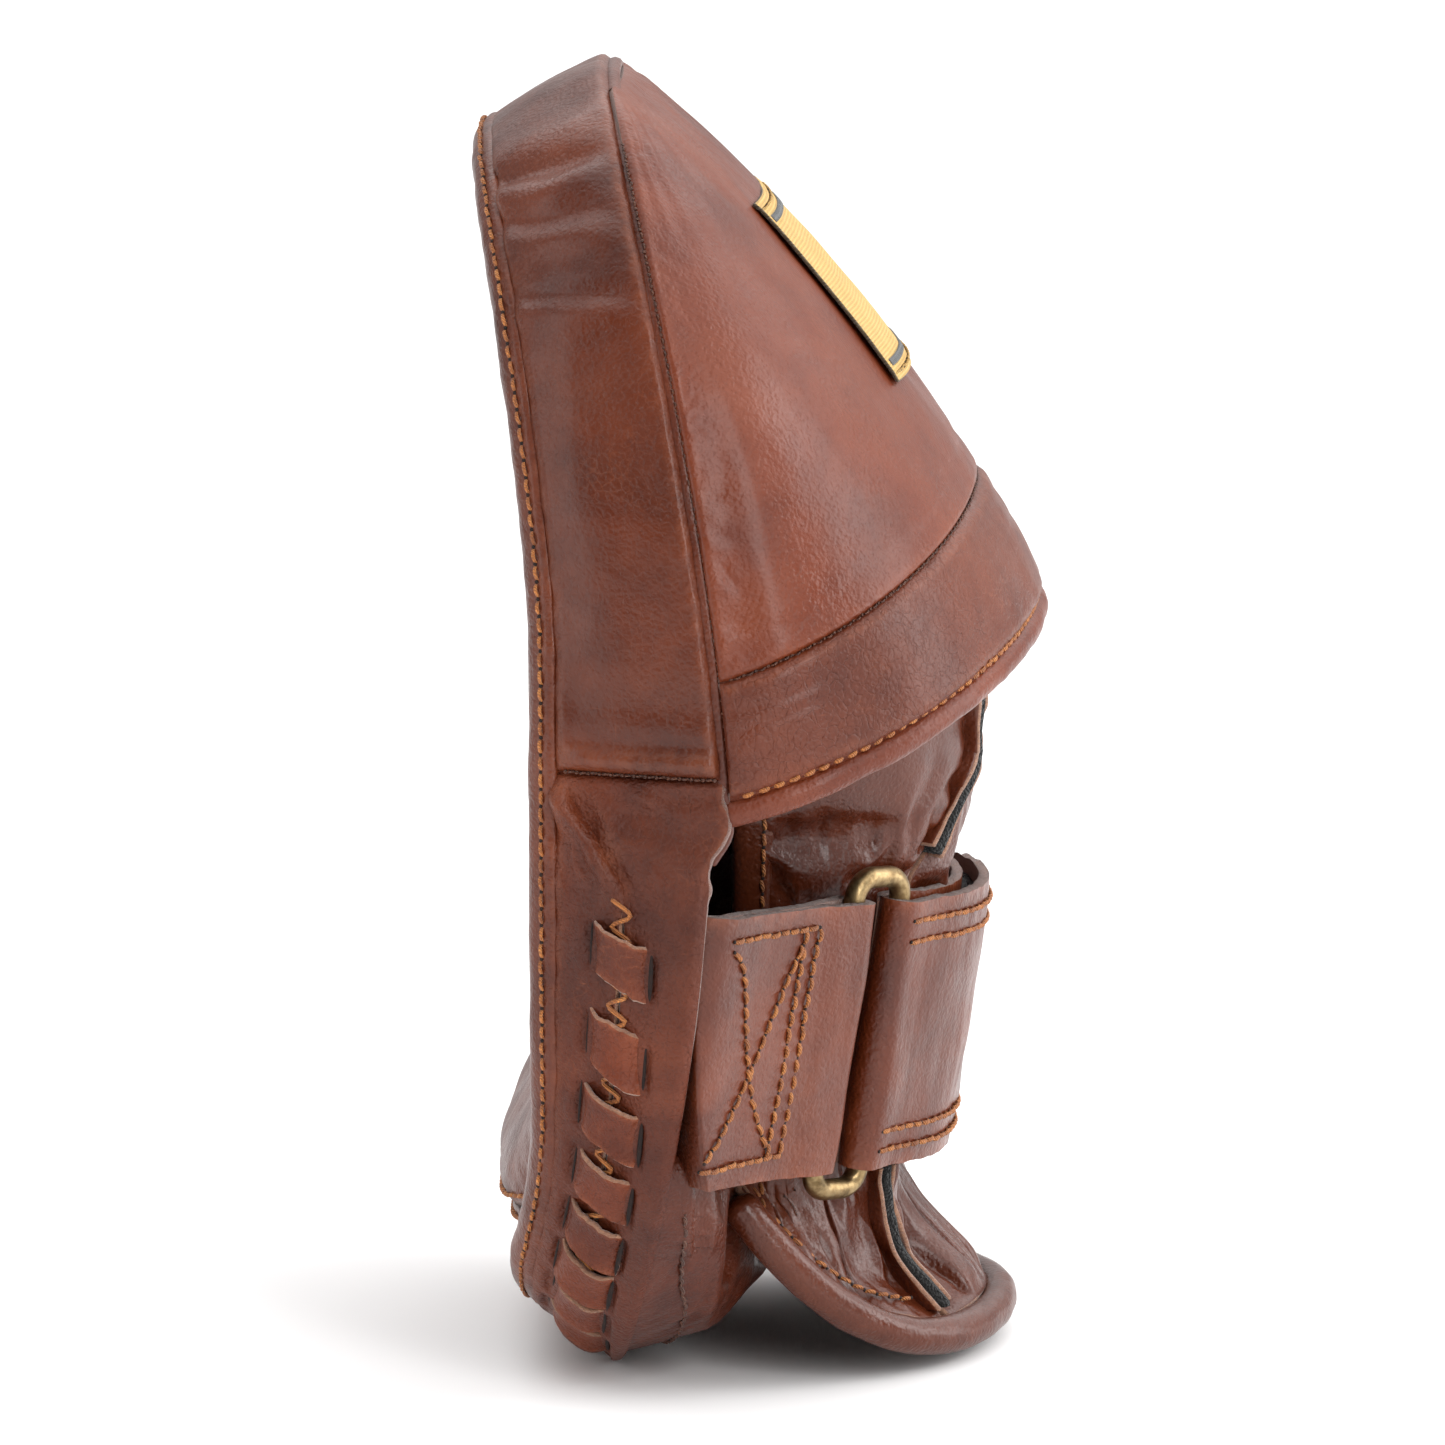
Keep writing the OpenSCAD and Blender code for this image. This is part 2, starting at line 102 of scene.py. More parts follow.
def noise(p, size, seed=0, octaves=2):
    """Smooth noise from -1 to 1 at points in millimetres, with features of a size."""
    total = np.zeros(p.shape[:-1])
    weight = 1.0
    for o in range(octaves):
        q = p / size + 17.3 * (seed + 1)
        f = np.floor(q)
        r = q - f
        r = r * r * (3 - 2 * r)
        i = f.astype(np.int64)
        value = 0
        for a in (0, 1):
            for b in (0, 1):
                for c in (0, 1):
                    w = ((r[..., 0] if a else 1 - r[..., 0]) * (r[..., 1] if b else 1 - r[..., 1])
                         * (r[..., 2] if c else 1 - r[..., 2]))
                    value = value + w * hashed(i[..., 0] + a, i[..., 1] + b, i[..., 2] + c, seed + o)
        total += value * weight
        size, weight = size / 2, weight / 2
    return total


def grid(rows, cols):
    """Row and column parameters as two arrays of one shape."""
    return np.meshgrid(rows, cols, indexing="ij")


def stack(x, y, z):
    return np.stack(np.broadcast_arrays(x, y, z), axis=-1)


def unit(v):
    return v / np.maximum(1e-9, np.linalg.norm(v, axis=-1, keepdims=True))


def normals(p, wrap=False, away_from=None):
    """Unit normals of a grid of points, turned away from a point or from a grid of points."""
    if wrap:
        du = np.roll(p, -1, 1) - np.roll(p, 1, 1)
    else:
        du = np.gradient(p, axis=1)
    n = unit(np.cross(np.gradient(p, axis=0), du))
    away = np.array(INNER if away_from is None else away_from, float)
    return n if np.sum(n * (p - away)) > 0 else -n


def run_along(path):
    """Distance of each point from the start of a path."""
    return np.concatenate([[0], np.cumsum(np.linalg.norm(np.diff(path, axis=0), axis=1))])


def resample(path, pitch=None, count=None):
    """Points at even spacing along a path of points, with any further columns carried along."""
    path = np.asarray(path, float)
    run = run_along(path[:, :3])
    count = count or max(2, int(round(run[-1] / pitch)) + 1)
    at = np.linspace(0, run[-1], count)
    return np.stack([np.interp(at, run, path[:, c]) for c in range(path.shape[1])], axis=1)


# ---- Meshes -----------------------------------------------------------------
def make(name, verts, faces, mats, mat_index=None, attributes=None):
    mesh = bpy.data.meshes.new(name)
    mesh.from_pydata((np.asarray(verts) * MM).tolist(), [], [list(f) for f in faces])
    for m in mats:
        mesh.materials.append(m)
    if mat_index is not None:
        mesh.polygons.foreach_set("material_index", np.asarray(mat_index, np.int32))
    mesh.polygons.foreach_set("use_smooth", np.full(len(mesh.polygons), True))
    for key, values in (attributes or {}).items():
        layer = mesh.attributes.new(key, "FLOAT", "POINT")
        layer.data.foreach_set("value", np.asarray(values, np.float32).ravel())
    mesh.validate()
    mesh.update()
    piece = bpy.data.objects.new(name, mesh)
    bpy.context.scene.collection.objects.link(piece)
    return piece


def quads(m, n, wrap, start=0, flip=False):
    i, j = np.meshgrid(np.arange(m - 1), np.arange(n if wrap else n - 1), indexing="ij")
    k = (j + 1) % n
    q = np.stack([i * n + j, i * n + k, (i + 1) * n + k, (i + 1) * n + j], -1).reshape(-1, 4) + start
    return q[:, ::-1] if flip else q


def border(m, n, wrap):
    """Loops of grid indices round the open edges, and the neighbours inside them."""
    rows = np.arange(m * n).reshape(m, n)
    if wrap:
        return [(rows[0], rows[1]), (rows[-1][::-1], rows[-2][::-1])]
    edge = np.concatenate([rows[0, :-1], rows[:-1, -1], rows[-1, :0:-1], rows[:0:-1, 0]])
    a, b = np.divmod(edge, n)
    return [(edge, np.clip(a, 1, m - 2) * n + np.clip(b, 1, n - 2))]


def skin(name, outer, thick, mats, wrap=False, away_from=None, wear=None, inner=None, rim=0.32):
    """A closed sheet of leather or cloth: outer face, swollen or grooved rim and inner face."""
    m, n = outer.shape[:2]
    if inner is None:
        inner = outer - normals(outer, wrap, away_from) * thick
    size = m * n
    flat_out, flat_in = outer.reshape(-1, 3), inner.reshape(-1, 3)
    i, j = m // 2, n // 2
    cross = np.cross(outer[i + 1, j] - outer[i, j], outer[i, (j + 1) % n] - outer[i, j])
    turned = np.dot(cross, outer[i, j] - inner[i, j]) > 0
    faces = [quads(m, n, wrap, 0, turned), quads(m, n, wrap, size, not turned)]
    index = [np.zeros(len(faces[0])), np.full(len(faces[1]), min(2, len(mats) - 1))]
    verts = [flat_out, flat_in]
    start = 2 * size
    for edge, inside in border(m, n, wrap):
        swell = unit(flat_out[edge] - flat_out[inside]) * min(thick, 2.5) * rim
        verts.append((flat_out[edge] + flat_in[edge]) / 2 + swell)
        count = len(edge)
        a = np.arange(count)
        b = (a + 1) % count
        first = np.stack([edge[a], edge[b], start + b, start + a], -1)
        second = np.stack([start + a, start + b, size + edge[b], size + edge[a]], -1)
        for strip in (first, second):
            faces.append(strip if turned else strip[:, ::-1])
            index.append(np.full(count, min(1, len(mats) - 1)))
        start += count
    wear = np.zeros((m, n)) if wear is None else wear
    extra = np.full(start - 2 * size, 0.6)
    values = np.concatenate([wear.ravel(), wear.ravel(), extra])
    return make(name, np.concatenate(verts), np.concatenate(faces), mats, np.concatenate(index),
                attributes={"wear": values})


def spline(points, count):
    """Smooth curve through points along the first axis, sampled evenly in its parameter."""
    at = np.linspace(0, len(points) - 1, count)
    i = np.minimum(at.astype(int), len(points) - 2)
    f = (at - i).reshape((-1,) + (1,) * (points.ndim - 1))
    far = np.concatenate([2 * points[:1] - points[1:2], points, 2 * points[-1:] - points[-2:-1]])
    a, b, c, d = (far[i + k] for k in range(4))
    return 0.5 * (2 * b + (c - a) * f + (2 * a - 5 * b + 4 * c - d) * f ** 2
                  + (3 * b - a - 3 * c + d) * f ** 3)


def refined(points, m, n):
    """A grid of points made finer."""
    return np.swapaxes(spline(np.swapaxes(spline(points, m), 0, 1), n), 0, 1)


def coons(low, high, left, right):
    """Grid that fills four edges; low and high run left to right, left and right low to high."""
    u = np.linspace(0, 1, len(left))[:, None, None]
    v = np.linspace(0, 1, len(low))[None, :, None]
    ruled = low[None] * (1 - u) + high[None] * u + left[:, None] * (1 - v) + right[:, None] * v
    corners = ((1 - u) * ((1 - v) * low[0] + v * low[-1])
               + u * ((1 - v) * high[0] + v * high[-1]))
    return ruled - corners


def relief(points, height, away_from=None, wrap=False):
    """A grid of points raised along its normals."""
    return points + normals(points, wrap, away_from) * height[..., None]


def frames(path, hint):
    """Tangent, side and up directions along a path, with up as near the hints as it can be."""
    along = unit(np.gradient(path, axis=0))
    side = unit(np.cross(along, hint))
    return along, side, np.cross(side, along)


def tube(name, path, hint, radius, mats, sides=20, flat=1.0, wear=0.0, rumple=None):
    """A tube along a path, with a radius for each point and rounded ends."""
    path = np.asarray(path, float)
    n = len(path)
    radius = np.broadcast_to(radius, (n,)).astype(float)
    along, side, up = frames(path, np.broadcast_to(hint, path.shape))
    cap = 5
    turn = np.linspace(0, math.pi / 2, cap, endpoint=False)
    head = [path[0] - along[0] * radius[0] * 0.7 * math.cos(a) for a in turn]
    tail = [path[-1] + along[-1] * radius[-1] * 0.7 * math.cos(a) for a in turn[::-1]]
    path = np.concatenate([head, path, tail])
    radius = np.concatenate([radius[0] * np.sin(turn + 0.08), radius,
                             radius[-1] * np.sin(turn[::-1] + 0.08)])
    side = np.concatenate([[side[0]] * cap, side, [side[-1]] * cap])
    up = np.concatenate([[up[0]] * cap, up, [up[-1]] * cap])
    angle = np.linspace(0, 2 * math.pi, sides, endpoint=False)
    ring = (np.cos(angle)[None, :, None] * side[:, None] + flat * np.sin(angle)[None, :, None]
            * up[:, None])
    points = path[:, None] + ring * radius[:, None, None]
    if rumple:
        amount, size, seed = rumple
        points = points + ring * (noise(points, size, seed, 3) * amount)[..., None]
    m = len(path)
    faces = quads(m, sides, True).tolist()
    faces += [list(range(sides))[::-1], [(m - 1) * sides + j for j in range(sides)]]
    return make(name, points.reshape(-1, 3), faces, mats,
                attributes={"wear": np.full(m * sides, wear)})


def join(name, pieces):
    """One object of several mesh pieces that share materials."""
    first = pieces[0]
    with bpy.context.temp_override(active_object=first, selected_editable_objects=pieces,
                                   object=first, selected_objects=pieces):
        bpy.ops.object.join()
    first.name = name
    first.data.name = name
    return first


STITCH_SIDES = 7
HOLE_SIDES = 8
HOLE_RINGS = ((0.4, -0.25), (0.4 * 0.8, 0.05), (0.4 * 0.3, 0.07))  # radius and lift


def stitches(name, path, up, mats, pitch=3.5, length=2.9, radius=0.42, seed=1, lift=0.32):
    """Single stitches of thick thread along a path, each with a flat dark disc at both ends: painted shade
    of the needle hole.
    """
    rng = np.random.default_rng(seed)
    data = resample(np.concatenate([path, up], axis=1), pitch)
    points, hint = data[:, :3], data[:, 3:]
    centre = (points[1:] + points[:-1]) / 2
    along = unit(points[1:] - points[:-1])
    up = unit((hint[1:] + hint[:-1]) / 2)
    side = unit(np.cross(up, along))
    up = np.cross(along, side)
    tilt = rng.normal(0.10, 0.05, len(centre))[:, None]
    along = unit(along + side * tilt)
    side = unit(np.cross(up, along))
    t = np.array([-1.0, -0.93, -0.7, -0.35, 0, 0.35, 0.7, 0.93, 1.0])
    thick = np.array([0.25, 0.7, 0.95, 1.0, 1.0, 1.0, 0.95, 0.7, 0.25])
    rise = lift * (1 - np.abs(t) ** 2.6 * 2.4)
    angle = np.linspace(0, 2 * math.pi, STITCH_SIDES, endpoint=False)
    scale = rng.normal(1, 0.05, len(centre))[:, None, None]
    x = (t * length / 2)[None, :, None] * scale
    ring_r = (thick * radius)[None, :, None]
    y = ring_r * np.cos(angle)[None, None] + rng.normal(0, 0.08, len(centre))[:, None, None]
    z = rise[None, :, None] + ring_r * 0.8 * np.sin(angle)[None, None]
    verts = (centre[:, None, None] + x[..., None] * along[:, None, None]
             + y[..., None] * side[:, None, None] + z[..., None] * up[:, None, None])
    count, rings = len(centre), len(t)
    verts = verts.reshape(-1, 3)
    base = quads(rings, STITCH_SIDES, True)
    caps = [list(range(STITCH_SIDES))[::-1],
            [(rings - 1) * STITCH_SIDES + j for j in range(STITCH_SIDES)]]
    block = rings * STITCH_SIDES
    faces = []
    for c in range(count):
        faces += (base + c * block).tolist() + [[v + c * block for v in cap] for cap in caps]
    index = [0] * len(faces)
    # needle holes: flat dark buttons just above the leather at each end, painted shade of the openings
    hole_up = unit(hint)
    hole_along = unit(np.gradient(points, axis=0))
    hole_side = unit(np.cross(hole_up, hole_along))
    a = np.linspace(0, 2 * math.pi, HOLE_SIDES, endpoint=False)
    start = len(verts)
    rings_of_hole = []
    for r, h in HOLE_RINGS:
        ring_now = r * (np.cos(a)[None, :, None] * hole_along[:, None]
                        + np.sin(a)[None, :, None] * hole_side[:, None])
        rings_of_hole.append(points[:, None] + ring_now + h * hole_up[:, None])
    dots = np.stack(rings_of_hole, 1).reshape(-1, 3)
    dot_faces = quads(len(HOLE_RINGS), HOLE_SIDES, True)
    last = (len(HOLE_RINGS) - 1) * HOLE_SIDES
    for c in range(len(points)):
        here = start + c * len(HOLE_RINGS) * HOLE_SIDES
        faces += (dot_faces + here).tolist() + [[here + last + j for j in range(HOLE_SIDES)],
                                                [here + j for j in range(HOLE_SIDES)][::-1]]
        index += [1] * (len(dot_faces) + 2)
    return make(name, np.concatenate([verts, dots]), faces, mats, index)


PUFF_FRAMES = 18


def cloth_puff(points, pressure, hold, cap, away_from):
    """Cloth simulation of a panel sewn down along its edges and filled from behind."""
    m, n = points.shape[:2]
    out = normals(points, False, away_from)
    cross = np.cross(points[1, 0] - points[0, 0], points[0, 1] - points[0, 0])
    turned = np.dot(cross, out[0, 0]) > 0
    panel = make("panel", points.reshape(-1, 3), quads(m, n, False, 0, turned), [])
    pins = panel.vertex_groups.new(name="sewn")
    sewn = np.zeros((m, n))
    sewn[0] = sewn[-1] = 1
    sewn[:, 0] = sewn[:, -1] = 1
    sewn = np.maximum(sewn, hold)
    for i, w in enumerate(sewn.ravel()):
        if w > 0:
            pins.add([i], float(w), "REPLACE")
    cloth = panel.modifiers.new("cloth", "CLOTH")
    cloth.settings.quality = 5
    cloth.settings.mass = 0.25
    cloth.settings.tension_stiffness = 18
    cloth.settings.compression_stiffness = 12
    cloth.settings.bending_stiffness = 8
    cloth.settings.use_pressure = True
    cloth.settings.uniform_pressure_force = pressure
    cloth.settings.shrink_min = -0.03
    cloth.settings.vertex_group_mass = "sewn"
    cloth.settings.pin_stiffness = 1
    cloth.settings.effector_weights.gravity = 0
    cloth.collision_settings.use_collision = False
    scene = bpy.context.scene
    for f in range(1, PUFF_FRAMES + 1):
        scene.frame_set(f)
    graph = bpy.context.evaluated_depsgraph_get()
    result = panel.evaluated_get(graph).to_mesh()
    moved = np.empty(len(result.vertices) * 3)
    result.vertices.foreach_get("co", moved)
    bpy.data.objects.remove(panel)
    scene.frame_set(1)
    shift = moved.reshape(m, n, 3) / MM - points
    size = np.linalg.norm(shift, axis=-1, keepdims=True)
    return points + shift * np.minimum(1, cap / np.maximum(size, 1e-6))


def done(piece, body, slot_name, *nodes):
    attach(piece, body)
    if nodes:
        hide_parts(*nodes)
    return piece


# ---- Materials --------------------------------------------------------------
class Nodes:
    """Short calls for building a node material."""

    def __init__(self, name):
        self.material = bpy.data.materials.new(name)
        self.material.use_nodes = True
        self.tree = self.material.node_tree
        self.shader = self.tree.nodes["Principled BSDF"]
        self.place = self.tree.nodes.new("ShaderNodeTexCoord").outputs["Object"]

    def add(self, kind, inputs=(), **settings):
        node = self.tree.nodes.new(kind)
        for key, value in settings.items():
            setattr(node, key, value)
        for key, value in dict(inputs).items():
            socket = node.inputs[key]
            if isinstance(value, bpy.types.NodeSocket):
                self.tree.links.new(value, socket)
            else:
                socket.default_value = value
        return node

    def noise(self, scale, detail=3, rough=0.55, distort=0.0, at=None):
        return self.add("ShaderNodeTexNoise", {"Vector": at or self.place, "Scale": scale,
                        "Detail": detail, "Roughness": rough, "Distortion": distort}).outputs["Fac"]

    def ramp(self, value, *stops):
        node = self.add("ShaderNodeValToRGB", {"Fac": value})
        band = node.color_ramp
        while len(band.elements) < len(stops):
            band.elements.new(0.5)
        for element, (at, colour) in zip(band.elements, stops):
            element.position = at
            grey = isinstance(colour, (int, float))
            element.color = (colour, colour, colour, 1) if grey else (*colour, 1)
        return node.outputs["Color"]

    def mix(self, factor, a, b):
        node = self.add("ShaderNodeMix", data_type="RGBA")
        for socket, value in ((node.inputs[0], factor), (node.inputs[6], a), (node.inputs[7], b)):
            if isinstance(value, bpy.types.NodeSocket):
                self.tree.links.new(value, socket)
            else:
                socket.default_value = (*value, 1) if isinstance(value, tuple) else value
        return node.outputs[2]

    def maths(self, operation, a, b, clamp=False):
        node = self.add("ShaderNodeMath", {0: a, 1: b}, operation=operation)
        node.use_clamp = clamp
        return node.outputs[0]

    def stretch(self, scale, turn=(0.0, 0.0, 0.0)):
        return self.add("ShaderNodeMapping", {"Vector": self.place, "Scale": scale,
                                              "Rotation": turn}).outputs["Vector"]

    def warp(self, amount, scale):
        node = self.add("ShaderNodeTexNoise", {"Vector": self.place, "Scale": scale, "Detail": 2.0})
        moved = self.add("ShaderNodeVectorMath", {0: node.outputs["Color"], "Scale": amount},
                         operation="SCALE").outputs[0]
        return self.add("ShaderNodeVectorMath", {0: self.place, 1: moved}).outputs[0]

    def attribute(self, key):
        return self.add("ShaderNodeAttribute", attribute_name=key).outputs["Fac"]

    def height(self, value, distance, before=None, strength=1.0):
        inputs = {"Height": value, "Distance": distance, "Strength": strength}
        if before is not None:
            inputs["Normal"] = before
        return self.add("ShaderNodeBump", inputs).outputs["Normal"]

    def finish(self, **sockets):
        for key, value in sockets.items():
            socket = self.shader.inputs[key.replace("_", " ")]
            if isinstance(value, bpy.types.NodeSocket):
                self.tree.links.new(value, socket)
            else:
                socket.default_value = value
        return self.material


def leather(name, base, dark, light, rough=0.40, grain=1.0, vein=0.5, scratch=0.5, wax=0.12):
    """Waxed pull-up leather: mottled colour, pebble grain, fine creases, scratches and rubbed edges."""
    n = Nodes(name)
    cloud = n.noise(21.0, 4, 0.6, 0.5)
    patch = n.noise(85.0, 4, 0.62)
    colour = n.ramp(cloud, (0.28, dark), (0.5, base), (0.8, light))
    colour = n.mix(n.ramp(patch, (0.42, 0.0), (0.8, 0.4)), colour, light)
    colour = n.mix(n.ramp(patch, (0.2, 0.45), (0.45, 0.0)), colour, dark)
    # net of fine creases where the leather has been bent
    net = n.add("ShaderNodeTexVoronoi", {"Vector": n.warp(0.004, 260.0), "Scale": 420.0},
                feature="DISTANCE_TO_EDGE").outputs["Distance"]
    line = n.ramp(net, (0.0, 1.0), (0.05, 0.3), (0.12, 0.0))
    where = n.ramp(n.noise(34.0, 3, 0.6), (0.52, 0.0), (0.72, 1.0))
    creased = n.maths("MULTIPLY", n.maths("MULTIPLY", line, where), 0.55 * vein)
    # hairline scratches in two directions
    scored = 0.0
    for turn, squeeze in (((0.5, 0.3, 0.2), (90.0, 200.0, 1700.0)),
                          ((1.2, 0.5, 0.9), (1500.0, 160.0, 80.0))):
        marks = n.noise(1.0, 4, 0.6, 0.5, n.stretch(squeeze, turn))
        patchy = n.ramp(n.noise(38.0, 3), (0.52, 0.0), (0.72, 1.0))
        fine = n.maths("MULTIPLY", n.ramp(marks, (0.66, 0.0), (0.74, 1.0)), patchy)
        scored = n.maths("MAXIMUM", scored, fine)
    scored = n.maths("MULTIPLY", scored, scratch)
    pale = (light[0] * 1.6, light[1] * 2.0, light[2] * 2.3)
    colour = n.mix(n.maths("MAXIMUM", creased, scored), colour, pale)
    rubbed = n.maths("MULTIPLY", n.attribute("wear"), n.ramp(n.noise(300.0, 3), (0.35, 0.15), (0.65, 1.0)))
    colour = n.mix(n.maths("MULTIPLY", rubbed, 0.6), colour, pale)
    pores = n.add("ShaderNodeTexVoronoi", {"Vector": n.warp(0.0012, 700.0), "Scale": 1150.0},
                  feature="SMOOTH_F1").outputs["Distance"]
    normal = n.height(n.noise(75.0, 4, 0.55), 0.0011, strength=0.6)
    normal = n.height(line, -0.00010 * vein, normal)
    normal = n.height(pores, 0.00026 * grain, normal)
    normal = n.height(n.noise(2600.0, 3), 0.00006 * grain, normal)
    gloss = n.ramp(n.noise(65.0, 5, 0.65), (0.3, rough - 0.09), (0.7, rough + 0.12))
    gloss = n.maths("ADD", gloss, n.maths("MULTIPLY", scored, 0.25), clamp=True)
    return n.finish(Base_Color=colour, Roughness=gloss, Normal=normal, Coat_Weight=wax,
                    Coat_Roughness=0.2, Specular_IOR_Level=0.28)


def raw_edge(name, light, dark):
    """Cut edge or flesh side of leather: fibrous and dull."""
    n = Nodes(name)
    fibre = n.noise(1.0, 4, 0.7, 1.0, n.stretch((900.0, 900.0, 2200.0)))
    # darker in the low parts of the fibre relief, lighter on the raised fibres: painted shade and
    # highlight among the fibres
    colour = n.ramp(fibre, (0.3, dark), (0.7, light))
    colour = n.mix(n.ramp(n.noise(200.0, 3), (0.4, 0.0), (0.7, 0.6)), colour, dark)
    normal = n.height(fibre, 0.0004)
    normal = n.height(n.noise(1500.0, 4), 0.0002, normal)
    return n.finish(Base_Color=colour, Roughness=0.92, Normal=normal, Sheen_Weight=0.35,
                    Sheen_Roughness=0.6)


def woven(name, colour, pitch=0.0009, rough=0.85, sheen=0.3, light=None):
    """Woven cloth, from two crossed waves of thread."""
    n = Nodes(name)
    waves = {"Vector": n.place, "Scale": 0.3125 / pitch, "Distortion": 0.6, "Detail": 1.0,
             "Detail Scale": 2.0}
    across = n.add("ShaderNodeTexWave", waves, bands_direction="Y").outputs["Fac"]
    along = n.add("ShaderNodeTexWave", waves, bands_direction="Z").outputs["Fac"]
    weave = n.maths("MAXIMUM", across, along)
    cloud = n.noise(120.0, 4)
    bright = light or tuple(min(1, c * 1.9 + 0.004) for c in colour)
    shade = n.mix(n.ramp(cloud, (0.3, 0.0), (0.8, 0.8)), colour, bright)
    # darker where the weave lies low, between the threads: painted shade
    shade = n.mix(n.ramp(weave, (0.2, 0.55), (0.8, 0.0)), shade, tuple(c * 0.45 for c in colour))
    normal = n.height(weave, 0.00025)
    normal = n.height(n.noise(2500.0, 2), 0.0001, normal)
    return n.finish(Base_Color=shade, Roughness=rough, Normal=normal, Sheen_Weight=sheen,
                    Sheen_Roughness=0.5)


def thread_material(name, base, dark, light):
    n = Nodes(name)
    twist = n.add("ShaderNodeTexWave", {"Vector": n.place, "Scale": 900.0, "Distortion": 1.2,
                  "Detail": 2.0}, bands_direction="DIAGONAL").outputs["Fac"]
    colour = n.ramp(n.noise(350.0, 3), (0.3, dark), (0.55, base), (0.8, light))
    # darker in the low grooves of the twist: painted shade between the plies
    colour = n.mix(n.ramp(twist, (0.25, 0.6), (0.6, 0.0)), colour, dark)
    normal = n.height(twist, 0.00025)
    normal = n.height(n.noise(3000.0, 2), 0.0001, normal)
    return n.finish(Base_Color=colour, Roughness=0.6, Normal=normal, Sheen_Weight=0.08)


# near-black colour for needle holes and lace slits: painted shade inside the openings
def hole_shade_material():
    n = Nodes("needle_hole_shade")
    colour = n.ramp(n.noise(900.0, 2), (0.3, (0.004, 0.0015, 0.001)), (0.7, (0.02, 0.006, 0.003)))
    return n.finish(Base_Color=colour, Roughness=0.9)


def brass_material():
    n = Nodes("antique_brass")
    tarnish = n.noise(160.0, 5, 0.65, 0.4)
    colour = n.ramp(tarnish, (0.3, (0.07, 0.045, 0.022)), (0.5, (0.24, 0.16, 0.075)),
                    (0.72, (0.42, 0.30, 0.15)))
    wear = n.ramp(n.noise(900.0, 3), (0.4, 0.0), (0.75, 0.5))
    colour = n.mix(wear, colour, (0.5, 0.38, 0.2))
    gloss = n.ramp(tarnish, (0.3, 0.55), (0.7, 0.27))
    normal = n.height(n.noise(1.0, 3, 0.6, 0.0, n.stretch((900.0, 900.0, 240.0))), 0.00006)
    normal = n.height(n.noise(350.0, 3), 0.00012, normal)
    return n.finish(Base_Color=colour, Metallic=1.0, Roughness=gloss, Normal=normal)


def pile_material(name, colour, fine):
    """Hook or loop tape: a dull pile of tiny fibres."""
    n = Nodes(name)
    pile = n.add("ShaderNodeTexVoronoi", {"Vector": n.warp(0.0006, 800.0), "Scale": fine},
                 feature="F1").outputs["Distance"]
    # lighter on the raised fibre tips than in the low ground between them: painted highlight on the pile
    shade = n.ramp(pile, (0.1, tuple(c * 2.2 for c in colour)), (0.6, colour))
    normal = n.height(pile, -0.0009)
    return n.finish(Base_Color=shade, Roughness=1.0, Normal=normal, Sheen_Weight=0.12)


def foam_material():
    n = Nodes("foam")
    cells = n.add("ShaderNodeTexVoronoi", {"Vector": n.place, "Scale": 900.0}).outputs["Distance"]
    # darker in the cell pits, which the bump sets lowest: painted shade
    colour = n.ramp(cells, (0.1, (0.09, 0.09, 0.095)), (0.6, (0.22, 0.22, 0.23)))
    return n.finish(Base_Color=colour, Roughness=0.95, Normal=n.height(cells, 0.0003))


BASE = (0.100, 0.0180, 0.0050)
DARK = (0.041, 0.0064, 0.0017)
LIGHT = (0.165, 0.0370, 0.0130)


def tone(colour, k):
    return tuple(c * k for c in colour)


M_FACE = leather("leather_face", BASE, DARK, LIGHT, 0.40, 1.0, 0.4, 0.5)
M_GUSSET = leather("leather_gusset", tone(BASE, 0.9), DARK, LIGHT, 0.37, 0.9, 0.35, 0.4, 0.15)
M_LOWER = leather("leather_lower", tone(BASE, 0.95), DARK, LIGHT, 0.47, 1.5, 0.7, 0.6, 0.06)
# the hood's leather is a lighter copy, with its darks raised most: painted light on the top of the pad
M_HOOD_LIT = leather("leather_hood", tone(BASE, 1.3), tone(DARK, 1.9), tone(LIGHT, 1.1), 0.41, 1.0,
                 0.25, 0.35, 0.14)
M_BAND = leather("leather_band", tone(BASE, 1.0), tone(DARK, 1.4), LIGHT, 0.42, 1.1, 1.0, 0.7, 0.12)
M_HAND = leather("leather_hand", tone(BASE, 0.72), tone(DARK, 0.8), tone(LIGHT, 0.75), 0.32, 0.8,
                 0.25, 0.25, 0.25)
M_STRAP = leather("leather_strap", tone(BASE, 0.9), tone(DARK, 1.1), tone(LIGHT, 0.95), 0.36, 0.8,
                  0.3, 0.15, 0.18)
M_LACE = leather("leather_lace", tone(BASE, 1.3), tone(DARK, 1.5), tone(LIGHT, 1.3), 0.5, 1.5,
                 0.9, 0.6, 0.05)
M_EDGE = raw_edge("raw_edge", (0.22, 0.085, 0.045), (0.075, 0.022, 0.011))
M_TAN_EDGE = raw_edge("tan_edge", (0.42, 0.20, 0.105), (0.16, 0.06, 0.028))
M_SUEDE = raw_edge("suede", (0.24, 0.095, 0.052), (0.11, 0.036, 0.018))
M_BLACK = woven("black_lining", (0.006, 0.006, 0.0065))
M_FELT = pile_material("black_felt", (0.006, 0.006, 0.006), 1600.0)
M_THREAD = thread_material("thread", (0.50, 0.165, 0.030), (0.22, 0.062, 0.013), (0.70, 0.29, 0.07))
M_DARK_THREAD = thread_material("dark_thread", (0.12, 0.034, 0.012), (0.045, 0.012, 0.005),
                                (0.20, 0.065, 0.022))
M_HOLE_SHADE = hole_shade_material()
M_FOAM = foam_material()
M_BRASS = brass_material()
M_LABEL = woven("label_weave", (0.62, 0.36, 0.075), 0.0006, 0.6, 0.1, (0.72, 0.46, 0.12))
M_LABEL_EDGE = woven("label_edge", (0.05, 0.03, 0.01), 0.0006)
